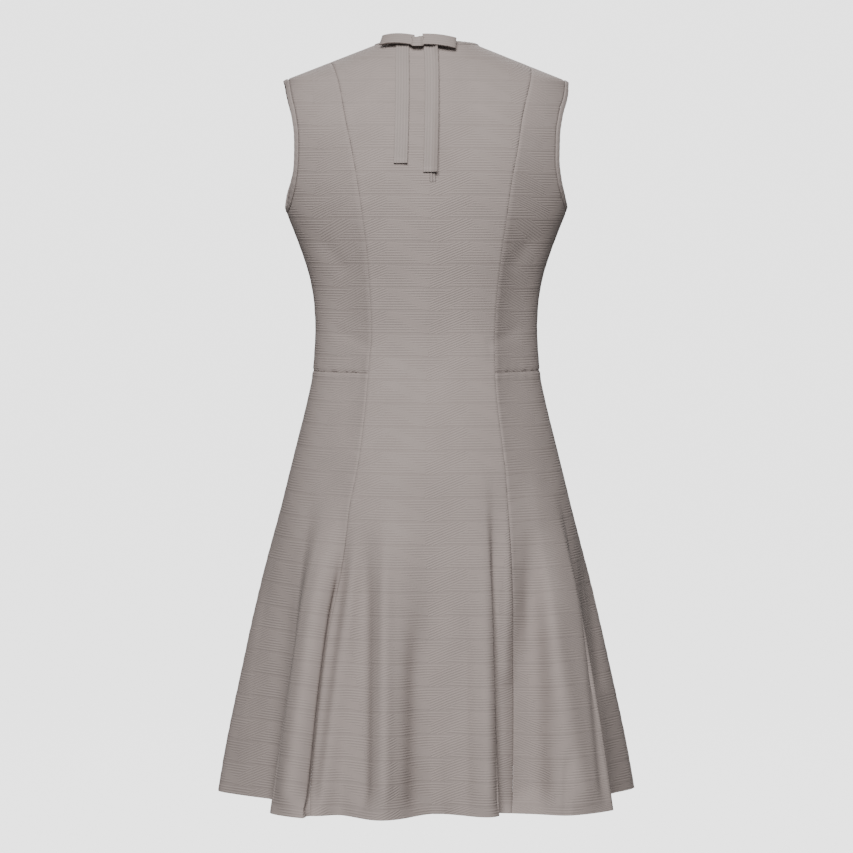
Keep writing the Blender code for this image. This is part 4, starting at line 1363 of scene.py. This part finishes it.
def bowl():
    """A profile that runs level, turns up in a quarter circle and rises, turned round the upright axis."""
    corner = np.linspace(0, np.pi / 2, BOWL_STEPS)
    flat = BOWL_RADIUS - BOWL_CORNER
    radius = np.concatenate([[0.4, 2.0, flat], flat + BOWL_CORNER * np.sin(corner[1:]), [BOWL_RADIUS]])
    height = np.concatenate([[0, 0, 0], BOWL_CORNER * (1 - np.cos(corner[1:])), [BOWL_TOP]]) + FLOOR_Z
    turn = np.linspace(0, 2 * np.pi, BOWL_TURNS, endpoint=False)
    x, y = radius[:, None] * np.cos(turn), radius[:, None] * np.sin(turn)
    points = np.stack(np.broadcast_arrays(x, y, height[:, None]), -1)
    points = np.concatenate([points.reshape(-1, 3), [[0.0, 0.0, FLOOR_Z]]])
    number = np.arange(len(points) - 1).reshape(-1, BOWL_TURNS)
    here, after = number[:-1], number[1:]
    quads = np.stack([here, after, np.roll(after, -1, 1), np.roll(here, -1, 1)], -1).reshape(-1, 4)
    middle = np.full(BOWL_TURNS, number.size)
    fan = np.stack([middle, number[0], np.roll(number[0], -1)], -1)
    mesh = bpy.data.meshes.new("studio")
    mesh.from_pydata(points.tolist(), [], fan.tolist() + quads.tolist())
    mesh.shade_smooth()
    made = bpy.data.objects.new("studio", mesh)
    bpy.context.collection.objects.link(made)
    return made


STUDIO_TONE = (0.25, 0.25, 0.25)
GLOW_ROUND, GLOW_SEEN = 0.06, 2.6
studio_finish = bpy.data.materials.new("studio paper")
studio_finish.use_nodes = True
paper_tree = studio_finish.node_tree
paper = paper_tree.nodes["Principled BSDF"]
paper.inputs["Base Color"].default_value = (*STUDIO_TONE, 1)
paper.inputs["Roughness"].default_value = 1.0
paper.inputs["Specular IOR Level"].default_value = 0.0
paper.inputs["Emission Strength"].default_value = 1.0
seen = paper_tree.nodes.new("ShaderNodeLightPath").outputs["Is Camera Ray"]
glow = maths(paper_tree, "MULTIPLY_ADD", seen, GLOW_SEEN - GLOW_ROUND, GLOW_ROUND)
paper_tree.links.new(glow, paper.inputs["Emission Color"])
studio = bowl()
studio.data.materials.append(studio_finish)

# The columns are name, place and aim in metres, size in metres and power in watts.
LAMPS = (
    ("key lamp", (0.62, 3.4, 2.1), (0.0, 0.1, -0.4), 1.8, 303),
    ("front lamp", (-0.6, -3.4, 2.2), (0.0, -0.1, -0.4), 1.6, 132),
)
for name, place, target, size, power in LAMPS:
    lamp = bpy.data.lights.new(name, "AREA")
    lamp.size, lamp.energy = size, power
    place, back = np.array(place), np.subtract(place, target)
    back = back / np.linalg.norm(back)
    right = np.cross((0, 0, 1.0), back)
    right /= np.linalg.norm(right)
    turned_object(name, lamp, place, right, np.cross(back, right), back)

AIR_LIGHT = 0.06
world = bpy.data.worlds.new("studio air")
world.use_nodes = True
world.node_tree.nodes["Background"].inputs["Color"].default_value = (1, 1, 1, 1)
world.node_tree.nodes["Background"].inputs["Strength"].default_value = AIR_LIGHT
bpy.context.scene.world = world
print("studio with", len(LAMPS), "lamps")
